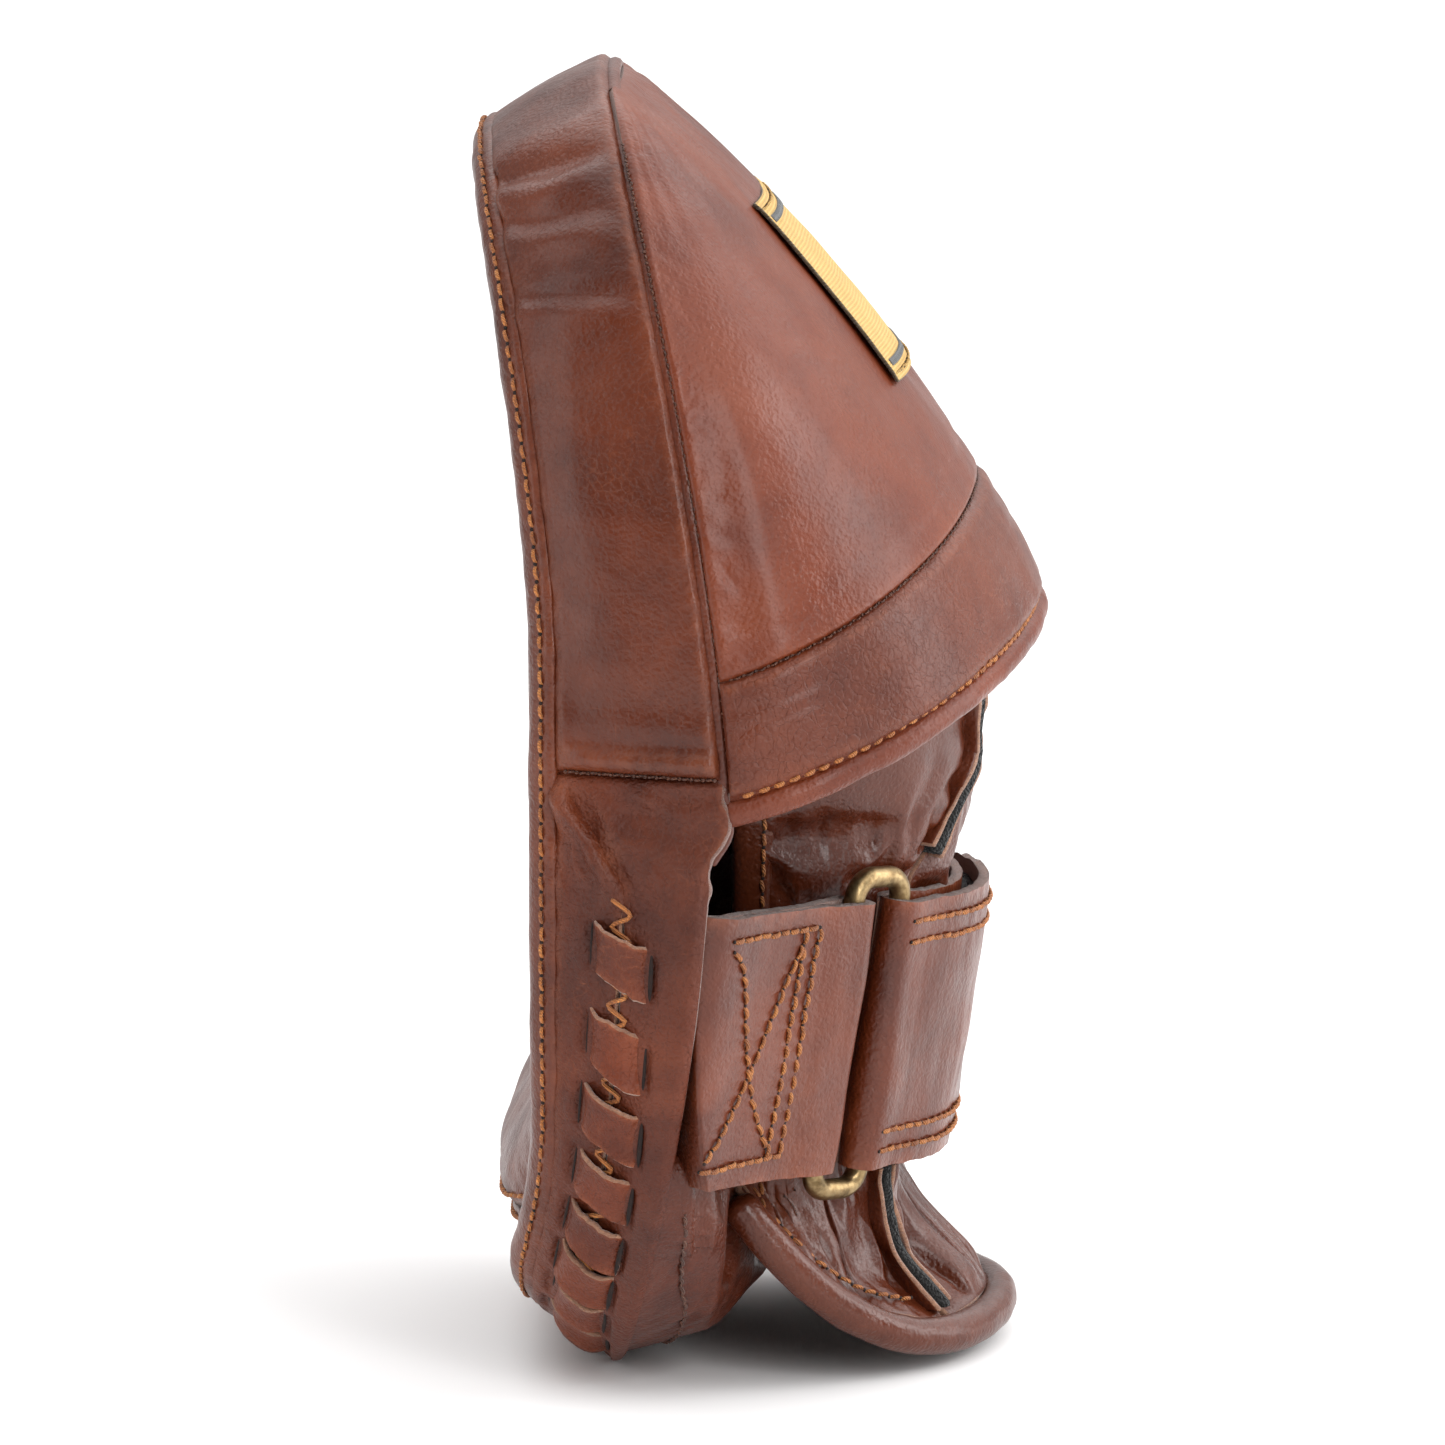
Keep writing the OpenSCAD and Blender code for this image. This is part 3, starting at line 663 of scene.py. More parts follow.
M_LABEL_THREAD = thread_material("label_thread", (0.62, 0.38, 0.09), (0.35, 0.2, 0.05),
                                 (0.8, 0.55, 0.16))
M_HOOK = pile_material("hook_tape", (0.01, 0.01, 0.011), 1300.0)
M_LOOP = pile_material("loop_tape", (0.008, 0.008, 0.009), 2200.0)
HIDE = [M_GUSSET, M_EDGE, M_SUEDE]
COVER_HIDE = [M_HAND, M_TAN_EDGE, M_SUEDE]
STRAP_HIDE = [M_STRAP, M_EDGE, M_SUEDE]
SEWING = [M_THREAD, M_HOLE_SHADE]
DARK_SEWING = [M_DARK_THREAD, M_DARK_THREAD]


# ---- Pad surfaces -----------------------------------------------------------
def gusset_front(z):
    return (-39.2 - 0.0145 * over(z - 150) ** 1.5 - 0.0042 * over(60 - z) ** 2
            + 0.018 * over(30 - z) ** 2)


def edge_x(z):
    return gusset_front(z) - BINDING


def rear_x(z):
    return (-7.3 - 0.0168 * over(z - 118) ** 1.464 - 3.7 * ease((118 - z) / 8)
            - 0.0118 * over(110 - z) ** 1.55)


def level_x(z, s):
    return edge_x(z) + (rear_x(z) - edge_x(z)) * s


def half_sizes(s, inset):
    """Half width and half height of the outline at a level."""
    return (HALF_WIDTH - BEVEL * over(1 - s) ** 1.1 - inset,
            MID + HEEL_FLAT - BEVEL * over(1 - s) ** 1.1 - inset)


def outline(t, s, inset=0.0):
    """Y and Z of the pad's outline at an angle from its top, a level and an inset."""
    wide, tall = half_sizes(s, inset)
    return (wide * power(np.sin(t), 2 / SQUARE),
            np.maximum(0, MID + tall * power(np.cos(t), 2 / SQUARE)))


def half_width_at(z):
    a = np.abs(z - MID) / (MID + HEEL_FLAT)
    return HALF_WIDTH * over(1 - a ** SQUARE) ** (1 / SQUARE)


def arc_run(t, s=SLIT_LEVEL):
    """Distance along the outline from its top, for angles in rising order."""
    y, z = outline(t, s)
    return np.concatenate([[0], np.cumsum(np.hypot(np.diff(y), np.diff(z)))])


def even_turns(count, start=0.0, end=2 * math.pi):
    """Angles at even spacing along the rear outline."""
    t = np.linspace(start, end, 6000)
    run = arc_run(t, 1.0)
    return np.interp(np.linspace(0, run[-1], count), run, t)


def dish(y, z, k):
    rim = 1 - np.minimum(1, k / 0.92) ** 12
    return rim * (5 * ease((z - 70) / 60) * (1 - k * k) ** 2
                  - 10 * np.exp(-((z - 35) / 17) ** 2) * over(1 - np.abs(y / 80) ** 3))


def seam_z(y):
    """Height of the curved seam across the foot of the face."""
    return HEEL_SEAM + y * y / (2 * HEEL_SEAM_R)


def side_point(t, d, inset=0.0):
    """Point of the pad's side at an angle, a distance behind the front edge and a depth inside."""
    z0 = outline(t, 0.1)[1]
    s = d / (rear_x(z0) - edge_x(z0))
    y, z = outline(t, s, inset)
    return stack(edge_x(z) + d, y, z)


def side(t, s, inset=0.0):
    y, z = outline(t, s, inset)
    return stack(level_x(z, s), y, z)


def share(y, z, s, inset):
    """How far out a point lies, from 0 at the middle to 1 on the outline."""
    wide, tall = half_sizes(s, inset)
    return (np.abs(y / wide) ** SQUARE + np.abs((z - MID) / tall) ** SQUARE) ** (1 / SQUARE)


def turn_at(z, s=1.0, inset=0.0):
    """Angle from the top at which an outline comes down to a height."""
    tall = half_sizes(s, inset)[1]
    return math.acos(power(np.array((z - MID) / tall), SQUARE / 2))


def arc(s, inset, start, end, count):
    """Points of an outline between two angles, at even spacing."""
    y, z = outline(np.linspace(start, end, 1500), s, inset)
    return resample(np.stack([y, z, 0 * y], 1), count=count)[:, :2]


def outline_patch(s, inset, m, n, low=None, high=None, sag=0.0):
    """Grid of Y and Z that fills an outline, cut along a sagging line below or above."""
    below = math.pi if low is None else turn_at(low, s, inset)
    above = 0 if high is None else turn_at(high, s, inset)
    corner_low = 2.45 if low is None else below
    corner_high = 0.82 if high is None else above
    if low is None and high is not None:
        corner_low = above + 0.16
    sides = [arc(s, inset, sign * corner_low, sign * corner_high, m) for sign in (-1, 1)]
    edges = []
    for end, corner, level in ((math.pi, corner_low, low), (0, corner_high, high)):
        if level is None and end:
            edges.append(arc(s, inset, 2 * math.pi - corner, corner, n))
        elif level is None:
            edges.append(arc(s, inset, -corner, corner, n))
        else:
            row = sides[0][0] if end else sides[0][-1]
            across = np.linspace(row[0], -row[0], n)
            edges.append(np.stack([across, row[1] + sag * (seam_z(across) - seam_z(row[0]))], 1))
    return coons(edges[0], edges[1], sides[0], sides[1])


def chain(points, hint, name, pitch=3.4, mats=SEWING, **settings):
    """A row of stitches along points, with one outward direction or one for each point."""
    return stitches(name, np.asarray(points), np.broadcast_to(hint, np.shape(points)).copy(), mats,
                    pitch=pitch, **settings)


def sewn_row(points, hint, name, **settings):
    """A finished row of stitches on the root."""
    return done(chain(points, hint, name, **settings), "root", "thread")


# ---- Pad --------------------------------------------------------------------
def build_face():
    pieces = []
    for name, low, high, m, n in (("face_leather", SEAM_END + 0.3, None, 150, 120),
                                  ("face_heel_leather", None, SEAM_END - 0.3, 40, 120)):
        flat = outline_patch(0, 2.2, m, n, low, high, 1.0)
        y, z = flat[..., 0], flat[..., 1]
        k = np.minimum(1, share(y, z, 0, 2.2))
        off_seam = np.abs(z - seam_z(y))
        x = level_x(z, 0) + 2.2 + dish(y, z, k) + 1.6 * np.exp(-off_seam / 1.2)
        p = stack(x, y, z)
        # creases that fan out of the pocket, and the drawn-in look beside the binding
        turn = np.arctan2(y, z - 92)
        fan = np.sin(turn * 9 + noise(p, 30, 5) * 2.5) * bump(k, 0.72, 0.2)
        pull = 0.3 * np.sin(turn * 55 + noise(p, 15, 8) * 3) * ease((k - 0.8) / 0.12)
        soft = noise(p, 42, 3, 3) * 0.6 + noise(p, 9, 4, 2) * 0.1
        gather = 0.25 * np.sin(y / 2.3 + 2 * noise(p, 12, 7)) * np.exp(-off_seam / 6)
        p[..., 0] += (fan * 0.3 + pull + soft + gather) * ease((1 - k) / 0.06) * ease(off_seam / 3)
        wear = 0.5 * bump(k, 0.3, 0.35) * over(noise(p, 20, 9)) + 0.4 * bump(off_seam, 1.6, 0.8)
        pieces.append(skin(name, p, LEATHER, [M_FACE, M_EDGE, M_SUEDE], away_from=(50, 0, 128),
                           wear=wear))
    done(pieces[0], "root", "leather_face", "face_panel")
    done(pieces[1], "root", "leather_face", "face_heel_panel")
    for offset, name in ((2.4, "face_seam_stitches"), (-2.4, "heel_seam_stitches")):
        y = np.linspace(-70, 70, 180)
        z = seam_z(y) + offset
        k = share(y, z, 0, 2.2)
        y, z, k = y[k < 0.975], z[k < 0.975], k[k < 0.975]
        x = level_x(z, 0) + 2.1 + dish(y, z, k) + 1.6 * math.exp(-2)
        lean = np.gradient(x, y)
        out = unit(stack(-1 + 0 * y, lean, 0.1 + 0 * y))
        sewn_row(stack(x, y, z), out, name, seed=21, radius=0.48, length=3.1)


BIND_PROFILE = np.array([[8.0, 2.15], [7.0, 1.0], [6.0, 0.3], [4.6, -0.05], [3.2, -0.1], [1.9, 0.25],
                         [0.9, 1.0], [0.25, 2.0], [0.0, 3.0], [0.1, 4.0], [0.5, 4.9], [1.5, 5.6]])


def build_binding():
    t = even_turns(841)[:-1]
    profile = spline(BIND_PROFILE, 30)
    inset, t2 = grid(profile[:, 0], t)
    back, _ = grid(profile[:, 1], t)
    p = side_point(t2, back, inset)
    ridge = bump(back, 2.2, 1.2) * bump(inset, 0.2, 1.4)
    q = relief(p, noise(p, 11, 31) * 0.22 + noise(p, 3.5, 32) * 0.1 - 0.28 * ridge, wrap=True)
    piece = skin("binding_leather", q, 1.6, [M_GUSSET, M_EDGE, M_SUEDE], wrap=True,
                 wear=0.55 * ridge + 0.5 * bump(back, 4.6, 0.6))
    done(piece, "root", "leather_gusset", "edge_binding")
    line = side_point(t, 2.25, 0.28 + 0 * t)
    out = unit(stack(-0.6 + 0 * t, np.sin(t), np.cos(t)))
    sewn_row(line, out, "binding_stitches", pitch=3.3, seed=2, radius=0.4, lift=0.3)


def build_upper_gusset():
    end = turn_at(127.5)
    t = even_turns(470, -end, end)
    v, t2 = grid(np.linspace(0, 1, 44), t)
    s = SEAM_LEVEL - 0.012 + (1.004 - SEAM_LEVEL) * v
    z0 = outline(t2, s)[1]
    width = (rear_x(z0) - edge_x(z0)) * (1.004 - SEAM_LEVEL)
    front, rear = v * width, (1 - v) * width
    end_gap = np.maximum(0, z0 - 127.5)
    tuck = 1.5 * np.exp(-(front / 0.9) ** 2) + 1.5 * np.exp(-(rear / 0.9) ** 2)
    tuck = np.maximum(tuck, 1.5 * np.exp(-(end_gap / 0.7) ** 2))
    p = side(t2, s, tuck)
    y, z = p[..., 1], p[..., 2]
    crown = 1.0 * np.sin(np.pi * v) ** 0.8 * ease((z - 128) / 12)
    roll = 1.5 * bump(z, SEAM_HEIGHT + 2.6, 2.2) * ease(front / 6)
    roll = (roll + 0.5 * bump(z, SEAM_HEIGHT + 9, 4)
            - 0.5 * bump(z, SEAM_HEIGHT + 5.6, 1.6) * ease(front / 9))
    hollow = -0.7 * bump(z, SEAM_HEIGHT + 12, 5) * ease(front / 5)
    # the crease across each upper corner, with two fainter ones below it
    crease = 0
    for drop, depth, slope in ((0, 1.7, 0.30), (-7, 0.9, 0.16), (7, 0.8, 0.42), (-19, 0.7, 0.05)):
        line = 236 + drop + slope * front + 1.5 * noise(p, 18, 40)
        fade = ease(rear / 9) * ease(np.abs(y) / 40)
        crease = crease + depth * fade * (0.75 * bump(z, line - 3.6, 2.6) - bump(z, line, 1.9))
    ridge = 0.75 * bump(v, 0.46 + 0.12 * np.sin(z / 40), 0.2) * bump(z, 165, 42)
    drape = noise(p, 34, 41, 2) * 0.55 + noise(p, 10, 42, 2) * 0.13
    pucker = 0.2 * np.sin(arc_run(t)[None] / 2.1 + 2 * noise(p, 8, 43)) * (
        np.exp(-rear / 2.5) + 0.6 * np.exp(-front / 2.5))
    edge = ease(front / 2.2) * ease(rear / 2.4) * ease(end_gap / 1.8)
    p = relief(p, (crown + roll + hollow + crease + ridge + drape) * edge + pucker * ease(rear / 0.8))
    wear = np.clip(0.55 * bump(rear, 1.5, 1.0) + 0.35 * bump(front, 1.3, 0.8)
                   + 0.5 * bump(z, SEAM_HEIGHT + 3, 2.0), 0, 1)
    piece = skin("upper_gusset_leather", p, LEATHER, HIDE, wear=wear)
    done(piece, "root", "leather_gusset", "upper_gusset")
    for sign, name in ((-1, "near"), (1, "far")):
        level = np.linspace(SEAM_LEVEL + 0.05, 0.96, 60)
        row = side(sign * turn_at(SEAM_HEIGHT) + 0 * level, level, 0.2)
        row[:, 2] = SEAM_HEIGHT - 0.3
        sewn_row(row, (0, sign, 0.1), f"cross_seam_thread_{name}", pitch=2.4, mats=DARK_SEWING,
                 seed=6, radius=0.24, length=1.5, lift=0.25)


def slit_level_at(z):
    """Level of the laced slit, which runs up to the front corner of the gusset's cross seam."""
    return SLIT_LEVEL + (SEAM_LEVEL + 0.05 - SLIT_LEVEL) * ease((z - 105) / 22) ** 0.8


LACES = 21
LACE_FROM = math.radians(100.5)
lace_turns = [LACE_FROM + (2 * math.pi - 2 * LACE_FROM) * j / (LACES - 1) for j in range(LACES)]


def lace_dents(t, across):
    """Depth of the dents where each lace goes through the gusset."""
    run_at = np.interp(lace_turns, t[0], arc_run(t[0]))
    run = arc_run(t[0])[None]
    depth = 0
    for at in run_at:
        sheared = run - at + 0.36 * across
        window = np.exp(-(sheared / 4.6) ** 8)
        depth = depth + window * (1.0 * np.exp(-((np.abs(across) - 6.3) / 0.7) ** 2)
                                  - 0.3 * np.exp(-((np.abs(across) - 8.0) / 1.0) ** 2))
    return depth


def build_lower_gussets():
    end = turn_at(129.4)
    t = even_turns(520, end, 2 * math.pi - end)
    for name, front_side in (("lower_gusset_front", True), ("lower_gusset_rear", False)):
        v, t2 = grid(np.linspace(0, 1, 26), t)
        z0 = outline(t2, 0.5)[1]
        slit = slit_level_at(z0)
        closed = ease((z0 - 98) / 6)
        if front_side:
            s = SEAM_LEVEL - 0.012 + (slit - 0.004 + 0.024 * closed - SEAM_LEVEL) * v
        else:
            ragged = 0.03 * noise(stack(0 * z0, 0 * z0, z0 + 300 * (t2 > np.pi)), 5, 50, 3)
            ragged = ragged * ease((z0 - 98) / 14)
            s = slit + 0.016 - 0.04 * closed + (0.994 + 0.04 * closed + ragged - slit) * v
        full = rear_x(z0) - edge_x(z0)
        front = (s - SEAM_LEVEL + 0.012) * full
        across = (s - slit) * full
        rear = (1.01 - s) * full
        end_gap = np.maximum(0, 127.2 - z0)
        tuck = 1.5 * np.exp(-(front / 0.9) ** 2)
        tuck = np.maximum(tuck, 2.7 * ease((z0 - 126.2) / 1.8))
        p = side(t2, s, tuck)
        z = p[..., 2]
        lip = np.exp(-(np.abs(across) / 1.6) ** 2)
        top = ease((z - 101) / 8)
        folds = 0
        for along, depth, width in ((-7.5, 1.3, 2.0), (-3.2, 0.8, 1.6), (3.4, 1.5, 2.3), (8.5, 0.8, 2.6)):
            here = along * (0.35 + 0.65 * ease((127 - z) / 22)) + 1.2 * noise(p, 9, 51)
            folds = folds + depth * bump(across, here, width * (0.5 + 0.5 * ease((127 - z) / 20)))
        folds = folds * top * ease((z - 99) / 10) * ease(end_gap / 3) * (0.8 if front_side else 0.5)
        spread = np.arctan2(129 - z, front + 1.0)
        away = np.hypot(129 - z, front + 1.0)
        fan = np.sin(spread * 11 + 3.5 * noise(p, 16, 56)) * bump(away, 17, 11)
        folds = folds + over(0.9 * fan) * ease((z - 96) / 14) * ease(end_gap / 4)
        side_folds = 0.9 * bump(z, 117 + 0.3 * across, 2.2) * ease((across - 6) / 6) * ease(end_gap / 3)
        drape = noise(p, 26, 52, 2) * 0.55 + noise(p, 8, 53, 2) * 0.16
        pucker = 0.22 * np.sin(arc_run(t)[None] / 2.0 + 2 * noise(p, 8, 54)) * np.exp(-front / 2.2)
        crown = 0.5 * bump(across, -6 if front_side else 9, 5) * (1 - top)
        height = (folds - side_folds * 0.8 + drape + crown) * ease(front / 2.2) * ease(end_gap / 1.8)
        height = height + pucker - lace_dents(t2, across) * (1 - top)
        ledge = -0.8 * np.exp(-((across - 1.5) / 2.2) ** 2)
        if front_side:
            ledge = 1.9 * np.exp(-((across + 2.0) / 2.3) ** 2) - 2.6 * np.exp(-((across - 0.6) / 0.8) ** 2)
        height = height + ledge * top * ease(end_gap / 5) + 0.35 * lip * (1 - top)
        height = height - (0 if front_side else 1.3) * np.exp(-(rear / 1.1) ** 2) * ease((114 - z) / 8)
        p = relief(p, height)
        torn = 0.8 * bump(rear, 0.3, 0.8) * ease((z - 104) / 8) * (not front_side)
        wear = np.clip(0.4 * bump(front, 1.4, 0.8) + torn
                       + 0.5 * over(folds - 0.7) + 0.5 * lip, 0, 1)
        mats = [M_LOWER, M_TAN_EDGE if front_side else M_EDGE, M_SUEDE]
        piece = skin(name + "_leather", p, LEATHER * (0.7 if front_side else 0.9), mats, wear=wear)
        done(piece, "root", "leather_gusset", name)


def build_laces():
    strips, slits = [], []
    rng = np.random.default_rng(7)
    for j, t in enumerate(lace_turns):
        at = side(np.array([t]), SLIT_LEVEL)[0]
        along = unit(side(np.array([t + 0.02]), SLIT_LEVEL)[0] - at)
        back = unit(side(np.array([t]), SLIT_LEVEL + 0.1)[0] - at)
        out = unit(np.cross(back, along))
        if np.dot(out, at - np.array(INNER)) < 0:
            out = -out
        half = 5.0 * rng.normal(1, 0.05)
        reach = (6.4 if j else 7.2) * rng.normal(1, 0.05)
        shear = 0.34 + rng.normal(0, 0.07)
        a, b = grid(np.linspace(-1, 1, 19), np.linspace(-1, 1, 13))
        tilt, twist = rng.normal(0, 0.35, 2)
        rise = 2.0 * (1 - np.abs(a) ** 3.4 * 1.5) + 0.6 * b ** 2 + twist * a * b + tilt * b * (1 - a * a)
        rough = 0.35 * noise(stack(a * 9, b * 5, 0 * a + 20 * j), 1.8, 60, 3)
        wide = half * (1 + 0.07 * a) * b + rough * np.abs(b) ** 6
        p = (at + reach * a[..., None] * back + (wide - shear * reach * a)[..., None] * along
             + (rise + 0.12 * rough)[..., None] * out)
        wear = 0.9 * np.abs(b) ** 7 + 0.25 * np.abs(a) ** 3
        strips.append(skin(f"lace_{j}", p, 1.5, [M_LACE, M_TAN_EDGE, M_SUEDE], wear=wear,
                           inner=p - 1.4 * out))
        # flat near-black tubes where each lace goes into the gusset: painted shade inside the slits
        for sign in (-1, 1):
            centre = at + sign * (reach + 0.15) * back - sign * shear * reach * along + 0.12 * out
            run = centre + np.linspace(-half, half, 9)[:, None] * along
            taper = (0.25 if sign < 0 else 0.5) * (1.02 - np.linspace(-1, 1, 9) ** 2) ** 0.5
            slits.append(tube("slit", run, out, taper, [M_HOLE_SHADE], sides=8, flat=0.35))
    piece = join("lacing_strips", strips)
    done(piece, "root", "leather_lace", "lacing")
    done(join("lacing_slit_shades", slits), "root", "leather_lace")
    t = np.linspace(lace_turns[0] - 0.08, lace_turns[-1] + 0.08, 5000)
    run = arc_run(t)
    t = np.interp(np.arange(1, run[-1], 2.6), run, t)
    sway = np.where(np.arange(len(t)) % 2 == 0, 1.0, -1.0)
    centre = side(t, SLIT_LEVEL)
    back = unit(side(t, SLIT_LEVEL + 0.1) - centre)
    out = unit(np.cross(back, unit(np.gradient(centre, axis=0))))
    flip = np.sign(np.sum(out * (centre - np.array(INNER)), axis=1))[:, None]
    path = spline(centre + back * sway[:, None] * 1.9 + 0.85 * out * flip, 4 * len(t))
    piece = tube("slit_thread", path, np.repeat(out * flip, 4, axis=0), 0.46, [M_THREAD], sides=8)
    done(piece, "root", "thread")


def build_backs():
    flat = outline_patch(1, 2.4, 90, 70)
    y, z = flat[..., 0], flat[..., 1]
    p = stack(rear_x(z) + 0.2, y, z)
    p[..., 0] += noise(p, 26, 70, 3) * 0.5 * ease((1 - share(y, z, 1, 2.4)) / 0.06)
    piece = skin("back_cloth", p, 1.2, [M_BLACK], away_from=(-60, 0, 128))
    done(piece, "root", "black_fabric", "back_panel")


def heel_height(z):
    return np.where(z < 30, z, 30 + (z - 30) * (HEEL_TOP - 30) / (HEIGHT - 30))


def heel_bulge(y, z, k):
    crown = np.where(z < 19, over(1 - ((19 - z) / 20.5) ** 2) ** 0.5, over(1 - over((z - 19) / 44) ** 1.1))
    edge = over(1 - np.abs(y / half_width_at(np.maximum(z, 24))) ** 2.4) ** 0.35
    return 23 * np.sqrt(over(1 - k ** 12)) * crown * edge


def heel_point(y, z, lift=0.0):
    """Surface of the heel's rear swelling; its edge dips under the gusset."""
    k = np.minimum(1, share(y, z, 1, 1.4))
    z2 = heel_height(z)
    y2 = y * half_width_at(z2) / half_width_at(np.minimum(z, MID))
    dip = 3.6 * (1 - ease((1 - k) / 0.035))
    return stack(rear_x(z2) + LEATHER + 0.2 + heel_bulge(y2, z2, k) - dip + lift, y2, z2), k


BELOW_BACK = (-60, 0, 40)    # a point that the heel's rear leather faces away from


def build_heel_back():
    flat = outline_patch(1, 1.4, 60, 90)
    p, k = heel_point(flat[..., 0], flat[..., 1])
    p = cloth_puff(p, 1.2, hold=bump(k, 1, 0.03), cap=2.5, away_from=BELOW_BACK)
    p = refined(p, 120, 200)
    k = np.clip(refined(k[..., None], 120, 200)[..., 0], 0, 1)
    y = p[..., 1]
    gather = 0.35 * np.sin(y / 2.6 + 3 * noise(p, 14, 80)) * bump(k, 0.93, 0.06)
    soft = noise(p, 24, 81, 2) * 0.5 + noise(p, 8, 82, 2) * 0.12
    p = relief(p, (soft + gather) * ease((1 - k) / 0.05), away_from=BELOW_BACK)
    p[..., 2] = np.maximum(p[..., 2], 0.15)
    piece = skin("heel_back_leather", p, LEATHER, HIDE, away_from=BELOW_BACK)
    done(piece, "root", "leather_gusset", "heel_back_panel", "heel_stuffing")
    t = even_turns(700, math.radians(96), math.radians(264))
    y, z = outline(t, 1, 3.9)
    line = heel_point(y, z, 0.3)[0]
    out = unit(stack(0.9 + 0 * y, line[:, 1] / 70, (line[:, 2] - 60) / 70))
    sewn_row(line, out, "heel_seam_thread", mats=DARK_SEWING, seed=9, radius=0.4, pitch=3.2)


def slab_piece(name, front, rear, mats, body_slot, *nodes):
    """A closed block of foam between two grids of points."""
    piece = skin(name, front, 6, mats, inner=rear)
    return done(piece, "root", body_slot, *nodes)


def build_foam():
    flat = outline_patch(0.5, 8, 30, 24)
    for i, name in enumerate(("foam_core_front", "foam_core_middle", "foam_core_rear")):
        sides = []
        for level, dish_share in ((0.1 + 0.277 * i, 1 - i / 3), (0.1 + 0.277 * (i + 1), 0.67 - i / 3)):
            y, z = flat[..., 0], flat[..., 1]
            k = np.minimum(1, share(y, z, 0.5, 8))
            shift = (LEATHER + 0.6 if i == 0 and not sides else 0.0)
            sides.append(stack(level_x(z, level) + shift + dish_share * dish(y, z, k) * 0.9, y, z))
        slab_piece(name + "_block", sides[0], sides[1] - np.array([0.4, 0, 0]), [M_FOAM], "foam", name)


build_face()
build_binding()
build_upper_gusset()
build_lower_gussets()
build_laces()
build_backs()
build_heel_back()
build_foam()


# ---- Hood -------------------------------------------------------------------
def hood_depth(z):
    u = over(HEIGHT - z)
    return 1.21 * np.sqrt(u) + 0.768 * u - 0.00244 * u * u


def hood_point(f, z, inset=0.0):
    return stack(rear_x(z) + 0.3 + over(hood_depth(z) - inset) * np.cos(f),
                 over(half_width_at(z) - inset) * np.sin(f), z)


def hood_edge(f):
    return HOOD_EDGE_LOW + HOOD_EDGE_RISE * over(np.cos(f)) ** 1.2


def band_edge(f):
    return hood_edge(f) + BAND_WIDTH * (1 + 0.04 * np.cos(f))


def hood_rows(f, low, high, rows):
    """Heights of a grid on the hood, closer together near its top."""
    u, f2 = grid(np.linspace(0, 1, rows), f)
    top, bottom = HEIGHT - high, HEIGHT - low(f2)
    return f2, HEIGHT - (top + (bottom - top) * u ** 1.5)


